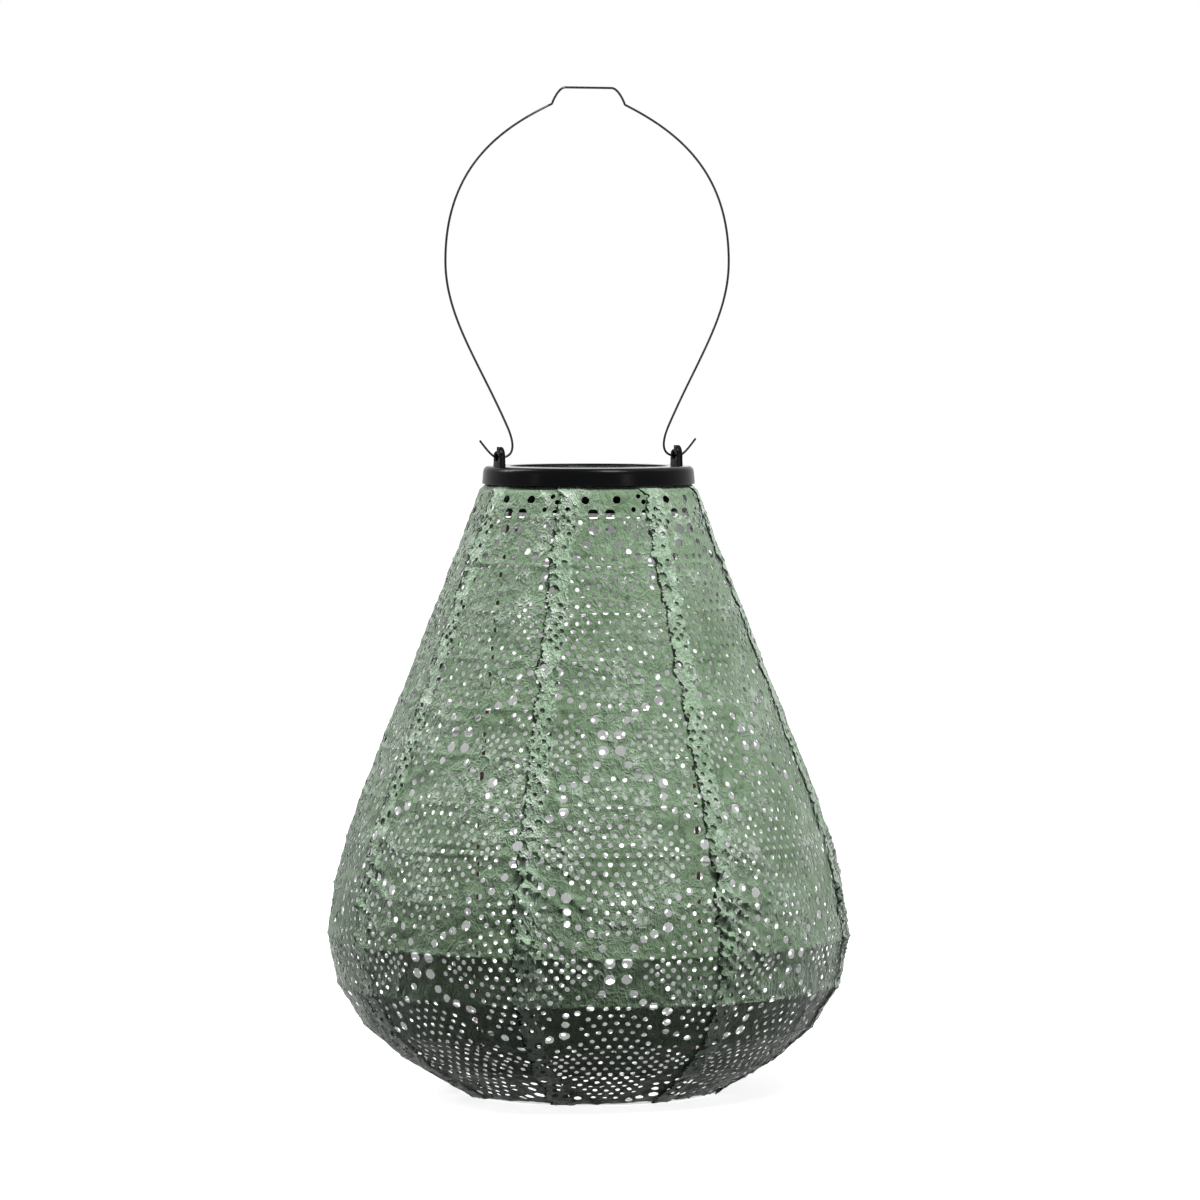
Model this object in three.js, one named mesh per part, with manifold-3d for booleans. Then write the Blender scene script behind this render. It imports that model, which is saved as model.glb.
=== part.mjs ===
// Solar garden lantern: a drop-shaped shade of eight cloth panels on wire hoops, hung from a moulded
// collar that holds a solar light unit, with a sprung wire bail.
// Millimetres, +Z up. The origin is the centre of the base, and the bail's eyelets lie on the X axis.
import * as THREE from "three";
import { mergeVertices } from "three/addons/utils/BufferGeometryUtils.js";
import Module from "manifold-3d";

const wasm = await Module();
wasm.setup();

// Driving dimensions
const seatGap = 0.3; // between pieces that seat on each other
const bodyHeight = 322.6; // floor to the top of the collar

const collar = {
  lipRadius: 54.8, // outside, at the lower edge
  lipHeight: 9.2,
  lipWall: 1.4,
  lipDraft: 0.8, // the lip is this much narrower at its top
  edgeRound: 3,
  roof: 2.5,
  skirtRadius: 47.6,
  skirtWall: 1.8,
  skirtDepth: 23, // from the collar's top
  ledgeDepth: 4.4, // from the collar's top
  ledgeWall: 2.2,
  ledgeReach: 3, // how far the ledge carries the light unit's flange
  socketWall: 1.4,
  socketDepth: 8,
};

const eyelet = {
  reach: 49.8, // from the lantern's axis to the middle of the plate
  plate: 2.5,
  halfWidth: 4.6,
  rootFlare: 0.5,
  pivotHeight: 4.6, // above the collar's top
  bore: 3.8,
  archHeight: 5.6, // above the bore's centre
  slot: 1.4, // narrower than the wire, which snaps through it
  slotOffset: 0.5,
  shortProng: 3.4, // above the bore's centre
};

const bail = {
  wire: 1.8,
  rise: 189, // bore centre to the top of the saddle
  halfWidth: 79.3,
  widestRise: 100.4,
  saddleHalf: 13,
  saddleFoot: 20.5,
  saddleDrop: 8.5,
  legRise: 16, // where the straight leg turns into the hook
  legInset: 4.3, // from the eyelet's plate towards the axis
  tipReach: 10.8, // free tip, outwards from the plate
  tipRise: 8.7,
};

// Handle lengths of the curves that bend each half of the bail, from the saddle down to the tip
const bend = {
  shoulderOut: 31.3,
  shoulderDown: 14,
  aboveWidest: 45.7,
  belowWidest: 28.1,
  aboveLeg: 37.7,
  legLean: 25.5, // degrees from upright
  belowLeg: 9,
  beforeBore: 9.5,
  afterBore: 3.7,
  tipOut: 5.7,
  tipUp: 2.6,
};

const cloth = {
  panels: 8,
  firstSeam: 5, // degrees from the X axis
  thickness: 0.5,
  lap: 11, // width of a glued seam
  lapRamp: 1.4, // the upper layer comes down to its panel's own level within this
  facets: 4, // across a panel, between its seams
  hemDepth: 6, // tucked up into the collar
};

const shade = {
  throatRadius: 55.5, // just under the collar
  throatDrop: 2.2, // below the collar's lip
  shoulderRadius: 117.6,
  shoulderHeight: 154.7,
  widestRadius: 135,
  widestHeight: 81.1,
  bellySweep: 18, // handle lengths of the two curves that make the belly
  keelSweep: 36,
  floorSweep: 48,
  floorSlope: 25.5, // degrees, where the cloth comes in to the base
  clothLift: 1.2, // lower edge of the cloth above the floor
};

const hoop = {
  count: 13,
  wire: 1.6,
  first: 14.2, // along the cloth from the throat
  pitch: 25.5, // along the cloth
  sides: 4,
  segments: 24,
};

// The punched pattern as a plain grid of diamonds, in every other facet of the bands between the hoops:
// each stands for a diamond-shaped group of small punched dots.
const punch = {
  halfWidth: 7.2,
  halfHeight: 8,
  widest: 0.4, // of the facet's width, where the facets are narrow
  bands: [1, 12], // counted down from the band under the first hoop
};

const baseRing = { wire: 3.2, radius: 64.2, sides: 8, segments: 40 };

const leg = {
  wire: 2,
  bow: 63, // greatest distance from the axis
  bowHeight: 85,
  waistRadius: 52.5,
  waistHeight: 240,
  kneeHeight: 287, // where it turns up into its socket
  footBend: 5,
};

const unit = {
  flangeRadius: 40, // lifts out between the bail's legs
  flange: 3.2,
  wall: 1.8,
  bottomDepth: 22.7, // underside below the collar's top
  basePlate: 2,
  rebate: 1.8, // recess for the clear cover
  cellPocket: 1.9,
  topPlate: 1.8,
  boardDrop: 4.2, // board below the cell pocket's floor
};

const cell = { side: 45.4, thickness: 1.6 };
const cover = { radius: 33.2, thickness: 1.3, bevel: 0.4 };
const board = { thickness: 1.6, radius: 33.9, shoulder: 1.6 };
const led = { side: 5, thickness: 1.4, lens: 1.8 };
const diffuser = { radius: 7.4, flange: 9.6, flangeThickness: 1.2, wall: 1.2, drop: 6 };
const battery = { radius: 5.25, length: 43.7, nub: 0.8, nubRadius: 1.9, y: -17, underside: 1.35 };
const contact = { thickness: 0.5, side: 8 };
const bay = { wall: 0.9, sideRoom: 0.45, height: 8 };
const door = { tabRadius: 2.7, thickness: 1.8 };
const seal = { width: 1.5, thickness: 0.8 };
const tongue = { wall: 1.4, height: 4 };
const screw = { shank: 1.3, length: 8, head: 2.5, headHeight: 1.2, slotDepth: 0.5, ring: 29, boss: 2.7 };
const doorScrew = { shank: 1, length: 4, head: 1.9, headHeight: 1, slotDepth: 0.4, boss: 2.1 };
const screwCrown = { radius: 0.5, height: 0.35, slotWidth: 0.5 }; // the head's edge is eased by this much
const knob = { length: 5, width: 3, proud: 1.2, travel: 3, y: 22 };
const knobShoe = { thickness: 1.2, endMargin: 2.4, sideMargin: 1, stem: 2 };
const knobGroove = { pitch: 1.4, width: 0.6, depth: 0.4 };
const switchBody = { length: 9, width: 4.4, height: 5 };

const around = 48; // facets round the collar
const aroundUnit = 32; // and round the light unit
const aroundSmall = 16;
const aroundPost = 12;
const bailSteps = 96;
const legSteps = 30;
const wireSides = 6;
const past = 1; // how far a cut runs on beyond the faces that it opens

// Colours
const finish = {
  cloth: new THREE.MeshStandardMaterial({ color: 0x87a287, roughness: 0.5, side: THREE.DoubleSide }),
  blackPlastic: new THREE.MeshStandardMaterial({ color: 0x17181b, roughness: 0.35 }),
  brightWire: new THREE.MeshStandardMaterial({ color: 0xb9bbbd, roughness: 0.2, metalness: 1 }),
  whiteWire: new THREE.MeshStandardMaterial({ color: 0xd4d6d6, roughness: 0.4, metalness: 1 }),
  darkWire: new THREE.MeshStandardMaterial({ color: 0x4a4540, roughness: 0.45, metalness: 1 }),
  clearPlastic: new THREE.MeshStandardMaterial({
    color: 0xdfe6e8,
    roughness: 0.1,
    opacity: 0.4,
    transparent: true,
  }),
  silicon: new THREE.MeshStandardMaterial({ color: 0x141c33, roughness: 0.25 }),
  boardGreen: new THREE.MeshStandardMaterial({ color: 0x1f5a38, roughness: 0.6 }),
  milky: new THREE.MeshStandardMaterial({ color: 0xf1ede2, roughness: 0.5 }),
  rubber: new THREE.MeshStandardMaterial({ color: 0x2a2a2a, roughness: 0.9 }),
  cellSleeve: new THREE.MeshStandardMaterial({ color: 0x3f7f52, roughness: 0.4 }),
  zinc: new THREE.MeshStandardMaterial({ color: 0xa7a9ab, roughness: 0.35, metalness: 1 }),
};

// Heights and radii that several pieces share
const lipZ = bodyHeight - collar.lipHeight;
const pivotZ = bodyHeight + eyelet.pivotHeight;
const ledgeZ = bodyHeight - collar.ledgeDepth;
const ledgeRadius = unit.flangeRadius - collar.ledgeReach;
const ledgeUnderZ = ledgeZ - collar.ledgeWall;
const skirtInner = collar.skirtRadius - collar.skirtWall;
const lipInner = collar.lipRadius - collar.lipWall;
const socketX = skirtInner - leg.wire / 2 - seatGap - collar.socketWall / 2;
const unitRadius = ledgeRadius - 2 * seatGap;
const unitInner = unitRadius - unit.wall;
const unitBottomZ = bodyHeight - unit.bottomDepth;
const plateTopZ = unitBottomZ + unit.basePlate;
const flangeZ = ledgeZ + seatGap;
const unitTopZ = flangeZ + unit.flange;
const rebateZ = unitTopZ - unit.rebate;
const pocketZ = rebateZ - unit.cellPocket;
const housingUnderZ = pocketZ - unit.topPlate;
const boardTopZ = pocketZ - unit.boardDrop;
const boardZ = boardTopZ - board.thickness;
const batteryZ = unitBottomZ + battery.underside + battery.radius;
const bayEnd = battery.length / 2 + battery.nub + contact.thickness + 2 * seatGap;
const baySide = battery.radius + bay.sideRoom;

const radians = THREE.MathUtils.degToRad;
const at = (x, y) => new THREE.Vector2(x, y);

// Solids

// A manifold solid from a closed geometry, without the faces that collapse on the axis of a turned piece.
function solidFrom(geometry) {
  const bare = geometry.clone();
  bare.deleteAttribute("normal");
  bare.deleteAttribute("uv");
  const merged = mergeVertices(bare, 1e-4);
  const corners = merged.index.array;
  const faces = [];
  for (let i = 0; i < corners.length; i += 3) {
    const [a, b, c] = corners.slice(i, i + 3);
    if (a !== b && b !== c && c !== a) faces.push(a, b, c);
  }
  return new wasm.Manifold(
    new wasm.Mesh({
      numProp: 3,
      vertProperties: Float32Array.from(merged.attributes.position.array),
      triVerts: Uint32Array.from(faces),
    }),
  );
}

function geometryFrom(solid) {
  const { vertProperties, triVerts } = solid.getMesh();
  const geometry = new THREE.BufferGeometry();
  geometry.setAttribute("position", new THREE.BufferAttribute(Float32Array.from(vertProperties), 3));
  geometry.setIndex(new THREE.BufferAttribute(Uint32Array.from(triVerts), 1));
  return geometry;
}

// The first geometry with the second list joined on and the third list cut away.
function shaped(body, joined = [], cut = []) {
  let solid = solidFrom(body);
  joined.forEach((g) => (solid = solid.add(solidFrom(g))));
  cut.forEach((g) => (solid = solid.subtract(solidFrom(g))));
  return geometryFrom(solid);
}

// A profile of [radius, height] points turned about Z, in either direction round its outline.
function turned(profile, segments = aroundUnit) {
  const points = profile.map(([r, z]) => at(r, z));
  if (THREE.ShapeUtils.area(points) < 0) points.reverse();
  const onAxis = points.findIndex((p, i) => p.x === 0 && points[(i + 1) % points.length].x === 0);
  if (onAxis >= 0) points.push(...points.splice(0, onAxis + 1));
  else points.push(points[0].clone());
  return new THREE.LatheGeometry(points, segments).rotateX(Math.PI / 2);
}

const disc = (radius, z0, z1, segments = aroundUnit) =>
  turned([[0, z0], [radius, z0], [radius, z1], [0, z1]], segments);

// Profile of a dome that hangs from the given height: a quarter ellipse from its tip on the axis to its rim.
const domeProfile = (radius, drop, z) =>
  [90, 68, 45, 22, 0].map((turn) => [
    turn === 90 ? 0 : radius * Math.cos(radians(turn)),
    z - drop * Math.sin(radians(turn)),
  ]);

const post = (x, y, radius, z0, z1) => disc(radius, z0, z1, aroundPost).translate(x, y, 0);

function block(x0, x1, y0, y1, z0, z1) {
  const box = new THREE.BoxGeometry(x1 - x0, y1 - y0, z1 - z0);
  return box.translate((x0 + x1) / 2, (y0 + y1) / 2, (z0 + z1) / 2);
}

// Round wire along a curve in the XZ plane, given as Vector2 points of (x, z).
function wireAlong(points, diameter, steps) {
  const route = new THREE.CatmullRomCurve3(
    points.map((p) => new THREE.Vector3(p.x, 0, p.y)),
    false,
    "centripetal",
  );
  const section = new THREE.Shape(
    Array.from({ length: wireSides }, (_, i) => {
      const turn = ((i + 0.5) / wireSides) * 2 * Math.PI;
      return at(Math.cos(turn), Math.sin(turn)).multiplyScalar(diameter / 2);
    }),
  );
  return new THREE.ExtrudeGeometry(section, { steps, extrudePath: route, curveSegments: 1 });
}

// The shade's outline, from the throat down to the edge of the cloth at the base, as (radius, height).
function shadeOutline() {
  const throat = at(shade.throatRadius, lipZ - shade.throatDrop);
  const shoulder = at(shade.shoulderRadius, shade.shoulderHeight);
  const widest = at(shade.widestRadius, shade.widestHeight);
  const edge = at(
    baseRing.radius + baseRing.wire / 2 + seatGap + cloth.thickness,
    shade.clothLift,
  );
  const coneWay = shoulder.clone().sub(throat).normalize();
  const floorWay = at(Math.cos(radians(shade.floorSlope)), Math.sin(radians(shade.floorSlope)));
  const outline = new THREE.CurvePath();
  outline.add(new THREE.LineCurve(throat, shoulder));
  outline.add(
    new THREE.CubicBezierCurve(
      shoulder,
      shoulder.clone().addScaledVector(coneWay, shade.bellySweep),
      at(widest.x, widest.y + shade.bellySweep),
      widest,
    ),
  );
  outline.add(
    new THREE.CubicBezierCurve(
      widest,
      at(widest.x, widest.y - shade.keelSweep),
      edge.clone().addScaledVector(floorWay, shade.floorSweep),
      edge,
    ),
  );
  return outline;
}

const outline = shadeOutline();
const outlineLength = outline.getLength();
const hoopPoints = Array.from({ length: hoop.count }, (_, i) =>
  outline.getPointAt((hoop.first + i * hoop.pitch) / outlineLength),
);

const clothLayer = cloth.thickness + seatGap;
const hemRadius = lipInner - 2 * seatGap - clothLayer;

// Each row of the cloth is a crease: two in the collar's groove, the throat, one at each hoop, and the edge.
const clothRows = [
  at(hemRadius - collar.lipDraft, lipZ + cloth.hemDepth),
  at(hemRadius, lipZ - clothLayer),
  outline.getPointAt(0),
  ...hoopPoints,
  outline.getPointAt(1),
];

const firstHoopRow = 3; // in the list of rows
const firstFacet = 2; // columns of a panel's lap, before its own facets

// Outward unit normal of the cloth at a row, halfway between the bands above and below it.
function rowNormal(row) {
  const above = clothRows[Math.max(row - 1, 0)];
  const below = clothRows[Math.min(row + 1, clothRows.length - 1)];
  const along = below.clone().sub(above).normalize();
  return at(-along.y, along.x);
}

// How far the middle of a facet lies inside the circle through its corners.
const facetDip = (radius, facets) => radius * (1 - Math.cos(Math.PI / facets));

// Collar with its lip, the groove for the cloth's hem, skirt, ledge, spreader sockets and two split eyelets
function collarProfile() {
  const top = bodyHeight;
  const topRadius = collar.lipRadius - collar.lipDraft;
  const rounded = [0, 30, 60, 90].map((turn) => [
    topRadius - collar.edgeRound * (1 - Math.cos(radians(turn))),
    top - collar.edgeRound * (1 - Math.sin(radians(turn))),
  ]);
  const bore = unit.flangeRadius + seatGap;
  return [
    [collar.lipRadius, lipZ],
    ...rounded,
    [bore, top],
    [bore, ledgeZ],
    [ledgeRadius, ledgeZ],
    [ledgeRadius, ledgeUnderZ],
    [skirtInner, ledgeUnderZ],
    [skirtInner, top - collar.skirtDepth],
    [collar.skirtRadius, top - collar.skirtDepth],
    [collar.skirtRadius, top - collar.roof],
    [lipInner - collar.lipDraft, top - collar.roof],
    [lipInner, lipZ],
  ];
}

// One split eyelet, seen along the lantern's X axis: a tall prong that arches over the bore and a short one.
function eyeletPlate() {
  const { halfWidth, pivotHeight: h, archHeight, slot, slotOffset, shortProng, rootFlare } = eyelet;
  const boreRadius = eyelet.bore / 2;
  const sunk = collar.roof / 2;
  const slotTurn = (y) => Math.acos(y / boreRadius);
  const archTurn = (y) => Math.acos(y / halfWidth);
  const plate = new THREE.Shape();
  plate.moveTo(-halfWidth - rootFlare, -sunk);
  plate.lineTo(-halfWidth - rootFlare, 0);
  plate.lineTo(-halfWidth, h / 2);
  plate.lineTo(-halfWidth, h);
  plate.absellipse(0, h, halfWidth, archHeight, Math.PI, archTurn(slotOffset), true);
  plate.absarc(0, h, boreRadius, slotTurn(slotOffset), slotTurn(slotOffset + slot), false);
  plate.lineTo(slotOffset + slot, h + shortProng);
  plate.lineTo(halfWidth - rootFlare, h + shortProng - 2 * rootFlare);
  plate.lineTo(halfWidth, h);
  plate.lineTo(halfWidth, h / 2);
  plate.lineTo(halfWidth + rootFlare, 0);
  plate.lineTo(halfWidth + rootFlare, -sunk);
  const solid = new THREE.ExtrudeGeometry(plate, {
    depth: eyelet.plate,
    bevelEnabled: false,
    curveSegments: 7,
  });
  const standing = new THREE.Matrix4().makeBasis(
    new THREE.Vector3(0, 1, 0),
    new THREE.Vector3(0, 0, 1),
    new THREE.Vector3(1, 0, 0),
  );
  return solid.translate(0, 0, -eyelet.plate / 2).applyMatrix4(standing);
}

function collarGeometry() {
  const socketTop = ledgeUnderZ + collar.ledgeWall / 2;
  const socketBottom = ledgeUnderZ - collar.socketDepth;
  const boreRadius = leg.wire / 2 + seatGap;
  const joined = [];
  const cut = [];
  for (const side of [-1, 1]) {
    joined.push(eyeletPlate().translate(side * eyelet.reach, 0, bodyHeight));
    joined.push(post(side * socketX, 0, boreRadius + collar.socketWall, socketBottom, socketTop));
    cut.push(post(side * socketX, 0, boreRadius, socketBottom - past, ledgeUnderZ));
  }
  return shaped(turned(collarProfile(), around), joined, cut);
}

// Half of the bail, from the middle of the saddle to the free tip, as (x, height above the eyelets' bores)
function bailHalf() {
  const legWay = at(-Math.sin(radians(bend.legLean)), -Math.cos(radians(bend.legLean)));
  const kink = at(bail.saddleFoot, bail.rise - bail.saddleDrop);
  const widest = at(bail.halfWidth, bail.widestRise);
  const legEnd = at(eyelet.reach - bail.legInset, bail.legRise);
  const bore = at(eyelet.reach, 0);
  const tip = at(eyelet.reach + bail.tipReach, bail.tipRise);
  const half = new THREE.CurvePath();
  half.add(new THREE.LineCurve(at(0, bail.rise), at(bail.saddleHalf, bail.rise)));
  half.add(
    new THREE.QuadraticBezierCurve(
      at(bail.saddleHalf, bail.rise),
      at((bail.saddleHalf + bail.saddleFoot) / 2, bail.rise),
      kink,
    ),
  );
  half.add(
    new THREE.CubicBezierCurve(
      kink,
      at(kink.x + bend.shoulderOut, kink.y - bend.shoulderDown),
      at(widest.x, widest.y + bend.aboveWidest),
      widest,
    ),
  );
  half.add(
    new THREE.CubicBezierCurve(
      widest,
      at(widest.x, widest.y - bend.belowWidest),
      legEnd.clone().addScaledVector(legWay, -bend.aboveLeg),
      legEnd,
    ),
  );
  half.add(
    new THREE.CubicBezierCurve(
      legEnd,
      legEnd.clone().addScaledVector(legWay, bend.belowLeg),
      at(bore.x - bend.beforeBore, 0),
      bore,
    ),
  );
  half.add(
    new THREE.CubicBezierCurve(
      bore,
      at(bore.x + bend.afterBore, 0),
      at(bore.x + bend.tipOut, bend.tipUp),
      tip,
    ),
  );
  return half;
}

function bailGeometry() {
  const right = bailHalf().getSpacedPoints(bailSteps / 2);
  const left = right.slice(1).map((p) => at(-p.x, p.y));
  const whole = [...left.reverse(), ...right];
  return wireAlong(whole, bail.wire, bailSteps).translate(0, 0, pivotZ);
}

// Cloth

// Whether the facet below a row and right of a column of the cloth has a diamond cut in it
function isPunched(row, column) {
  const band = row - firstHoopRow + 1;
  const facet = column - firstFacet;
  const [first, last] = punch.bands;
  return band >= first && band <= last && facet >= 0 && facet < cloth.facets && (band + facet) % 2 === 0;
}

// Cuts a diamond through one facet of the cloth. Each frame gives the facet's four corners on one side
// of the cloth, from the top left down and round, and the diamond's corners are added to the list.
function punchFacet(corners, faces, outerFrame, innerFrame) {
  const point = (corner) => new THREE.Vector3().fromArray(corners, 3 * corner);
  const [topLeft, bottomLeft, bottomRight, topRight] = outerFrame.map(point);
  const middleLeft = topLeft.clone().lerp(bottomLeft, 0.5);
  const middleRight = topRight.clone().lerp(bottomRight, 0.5);
  const height = topLeft.distanceTo(bottomLeft);
  const reach = Math.min(punch.halfWidth / middleLeft.distanceTo(middleRight), punch.widest);
  const drop = punch.halfHeight / height;
  const diamond = [[0, -drop], [-reach, 0], [0, drop], [reach, 0]];
  const loops = [outerFrame, innerFrame].map((frame) => {
    const [a, b, c, d] = frame.map(point);
    return diamond.map(([across, down]) => {
      const left = a.clone().lerp(b, 0.5 + down);
      const right = d.clone().lerp(c, 0.5 + down);
      corners.push(...left.lerp(right, 0.5 + across).toArray());
      return corners.length / 3 - 1;
    });
  });
  const [outerLoop, innerLoop] = loops;
  for (let i = 0; i < 4; i++) {
    const next = (i + 1) % 4;
    faces.push(outerFrame[i], outerLoop[next], outerLoop[i]);
    faces.push(outerFrame[i], outerFrame[next], outerLoop[next]);
    faces.push(innerFrame[i], innerLoop[i], innerLoop[next]);
    faces.push(innerFrame[i], innerLoop[next], innerFrame[next]);
    faces.push(outerLoop[i], outerLoop[next], innerLoop[next]);
    faces.push(outerLoop[i], innerLoop[next], innerLoop[i]);
  }
}

// One panel of the shade, as a thin closed sheet. Its left margin lies over the panel before it, one
// layer further out, and its right margin runs on under the panel after it.
function panelGeometry(index) {
  const share = 360 / cloth.panels;
  const start = radians(cloth.firstSeam + index * share);
  const end = start + radians(share);
  // Across the panel: the angle at a given radius, and how many layers out the cloth lies.
  const stations = (radius) => {
    const lap = cloth.lap / radius;
    const ramp = cloth.lapRamp / radius;
    const inner = start + lap + ramp;
    const middle = Array.from({ length: cloth.facets }, (_, i) => [
      inner + ((end - inner) * i) / cloth.facets,
      0,
    ]);
    return [[start, 1], [start + lap, 1], ...middle, [end, 0], [end + lap - seatGap / radius, 0]];
  };
  const corner = ([turn, layers], row, depth) => {
    const place = clothRows[row].clone().addScaledVector(rowNormal(row), layers * clothLayer - depth);
    return [place.x * Math.cos(turn), place.x * Math.sin(turn), place.y];
  };
  const columns = stations(1).length;
  const rows = clothRows.length;
  const corners = [];
  for (const depth of [0, cloth.thickness])
    for (let row = 0; row < rows; row++)
      stations(clothRows[row].x).forEach((station) => corners.push(...corner(station, row, depth)));
  const faces = [];
  const outer = (row, column) => row * columns + column;
  const inner = (row, column) => rows * columns + outer(row, column);
  const quad = (a, b, c, d) => faces.push(a, b, c, a, c, d);
  for (let r = 0; r + 1 < rows; r++)
    for (let c = 0; c + 1 < columns; c++) {
      const outerFrame = [outer(r, c), outer(r + 1, c), outer(r + 1, c + 1), outer(r, c + 1)];
      const innerFrame = [inner(r, c), inner(r + 1, c), inner(r + 1, c + 1), inner(r, c + 1)];
      if (isPunched(r, c)) punchFacet(corners, faces, outerFrame, innerFrame);
      else {
        quad(...outerFrame);
        quad(...innerFrame.reverse());
      }
    }
  for (let r = 0; r + 1 < rows; r++) {
    const last = columns - 1;
    quad(outer(r, 0), inner(r, 0), inner(r + 1, 0), outer(r + 1, 0));
    quad(outer(r, last), outer(r + 1, last), inner(r + 1, last), inner(r, last));
  }
  for (let c = 0; c + 1 < columns; c++) {
    const last = rows - 1;
    quad(outer(0, c), outer(0, c + 1), inner(0, c + 1), inner(0, c));
    quad(outer(last, c), inner(last, c), inner(last, c + 1), outer(last, c + 1));
  }
  const geometry = new THREE.BufferGeometry();
  geometry.setAttribute("position", new THREE.Float32BufferAttribute(corners, 3));
  geometry.setIndex(faces);
  return geometry;
}

// A wire ring of the given section, turned so that one flat of the section faces down
function ringGeometry(radius, z, wire, sides, segments) {
  const section = Array.from({ length: sides }, (_, i) => {
    const turn = ((i + 0.5) / sides) * 2 * Math.PI - Math.PI / 2;
    return [radius + (wire / 2) * Math.cos(turn), z + (wire / 2) * Math.sin(turn)];
  });
  return turned(section, segments);
}

function hoopGeometry(index) {
  const point = hoopPoints[index];
  const normal = rowNormal(index + firstHoopRow);
  const facets = (cloth.facets + 1) * cloth.panels;
  const inset = cloth.thickness + seatGap + hoop.wire / 2 + facetDip(point.x, facets);
  const centre = point.clone().addScaledVector(normal, -inset);
  return ringGeometry(centre.x, centre.y, hoop.wire, hoop.sides, hoop.segments);
}

const flatHalf = (wire, sides) => (wire / 2) * Math.cos(Math.PI / sides);
const baseRingTop = 2 * flatHalf(baseRing.wire, baseRing.sides);

function baseRingGeometry() {
  const { radius, wire, sides, segments } = baseRing;
  return ringGeometry(radius, flatHalf(wire, sides), wire, sides, segments);
}

// Spreader leg: from its socket in the collar, bowed out, down to a foot hooked over the base ring
function legGeometry(side) {
  const footZ = baseRingTop + seatGap + leg.wire / 2;
  const inside = baseRing.radius - baseRing.wire / 2 - leg.footBend / 2;
  const points = [
    at(socketX, ledgeUnderZ - seatGap),
    at(socketX, bodyHeight - collar.skirtDepth),
    at(socketX + leg.wire, leg.kneeHeight),
    at(leg.waistRadius, leg.waistHeight),
    at(leg.bow, leg.bowHeight),
    at(inside, footZ + leg.footBend),
    at(inside + leg.footBend / 4, footZ + leg.footBend / 4),
    at(inside + leg.footBend / 2, footZ),
    at(baseRing.radius + leg.wire, footZ),
  ];
  const mirrored = points.map((p) => at(side * p.x, p.y));
  return wireAlong(mirrored, leg.wire, legSteps);
}

// Light unit

const bossPlaces = [30, 150, 270].map((turn) => [
  screw.ring * Math.cos(radians(turn)),
  screw.ring * Math.sin(radians(turn)),
]);
const wallEndZ = plateTopZ + 2 * seatGap + seal.thickness;
const doorScrewX = bayEnd + bay.wall + door.tabRadius;

function housingGeometry() {
  const shoulderRadius = unitInner - board.shoulder;
  const profile = [
    [0, housingUnderZ],
    [shoulderRadius, housingUnderZ],
    [shoulderRadius, boardTopZ + seatGap],
    [unitInner, boardTopZ + seatGap],
    [unitInner, wallEndZ],
    [unitRadius, wallEndZ],
    [unitRadius, flangeZ],
    [unit.flangeRadius, flangeZ],
    [unit.flangeRadius, unitTopZ - cover.bevel],
    [unit.flangeRadius - cover.bevel, unitTopZ],
    [cover.radius + seatGap, unitTopZ],
    [cover.radius + seatGap, rebateZ],
    [0, rebateZ],
  ];
  const half = cell.side / 2 + seatGap;
  const bosses = bossPlaces.map(([x, y]) =>
    post(x, y, screw.boss, plateTopZ + seatGap, housingUnderZ + unit.topPlate / 2),
  );
  const pilots = bossPlaces.map(([x, y]) =>
    post(x, y, screw.shank + seatGap, plateTopZ, unitBottomZ + screw.headHeight + screw.length + past),
  );
  const pocket = block(-half, half, -half, half, pocketZ, unitTopZ);
  return shaped(turned(profile), bosses, [...pilots, pocket]);
}

function coverGeometry() {
  const z = rebateZ + seatGap;
  return turned([
    [0, z],
    [cover.radius, z],
    [cover.radius, z + cover.thickness - cover.bevel],
    [cover.radius - cover.bevel, z + cover.thickness],
    [0, z + cover.thickness],
  ]);
}

function cellGeometry() {
  const half = cell.side / 2;
  const z = pocketZ + seatGap;
  return block(-half, half, -half, half, z, z + cell.thickness);
}

function boardGeometry() {
  const holes = bossPlaces.map(([x, y]) =>
    post(x, y, screw.boss + seatGap, boardZ - past, boardTopZ + past),
  );
  return shaped(disc(board.radius, boardZ, boardTopZ), [], holes);
}

function ledGeometry() {
  const top = boardZ - seatGap;
  const half = led.side / 2;
  const middle = top - led.thickness / 2;
  const dome = domeProfile(led.lens, led.lens + led.thickness / 2, middle);
  const lens = turned([...dome, [0, middle]], aroundPost);
  return shaped(block(-half, half, -half, half, top - led.thickness, top), [lens]);
}

// The battery door's outline, grown by a margin: a rectangle over the bay and a rounded tab at the screw
function doorOutline(margin, z0, z1) {
  const { y } = battery;
  const start = -bayEnd + seatGap - margin;
  const end = bayEnd + bay.wall - seatGap + margin;
  const half = baySide - seatGap + margin;
  const tabHalf = door.tabRadius - seatGap + margin;
  return [
    block(start, end, y - half, y + half, z0, z1),
    block(end - past, doorScrewX, y - tabHalf, y + tabHalf, z0, z1),
    disc(tabHalf, z0, z1, aroundSmall).translate(doorScrewX, y, 0),
  ];
}

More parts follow.
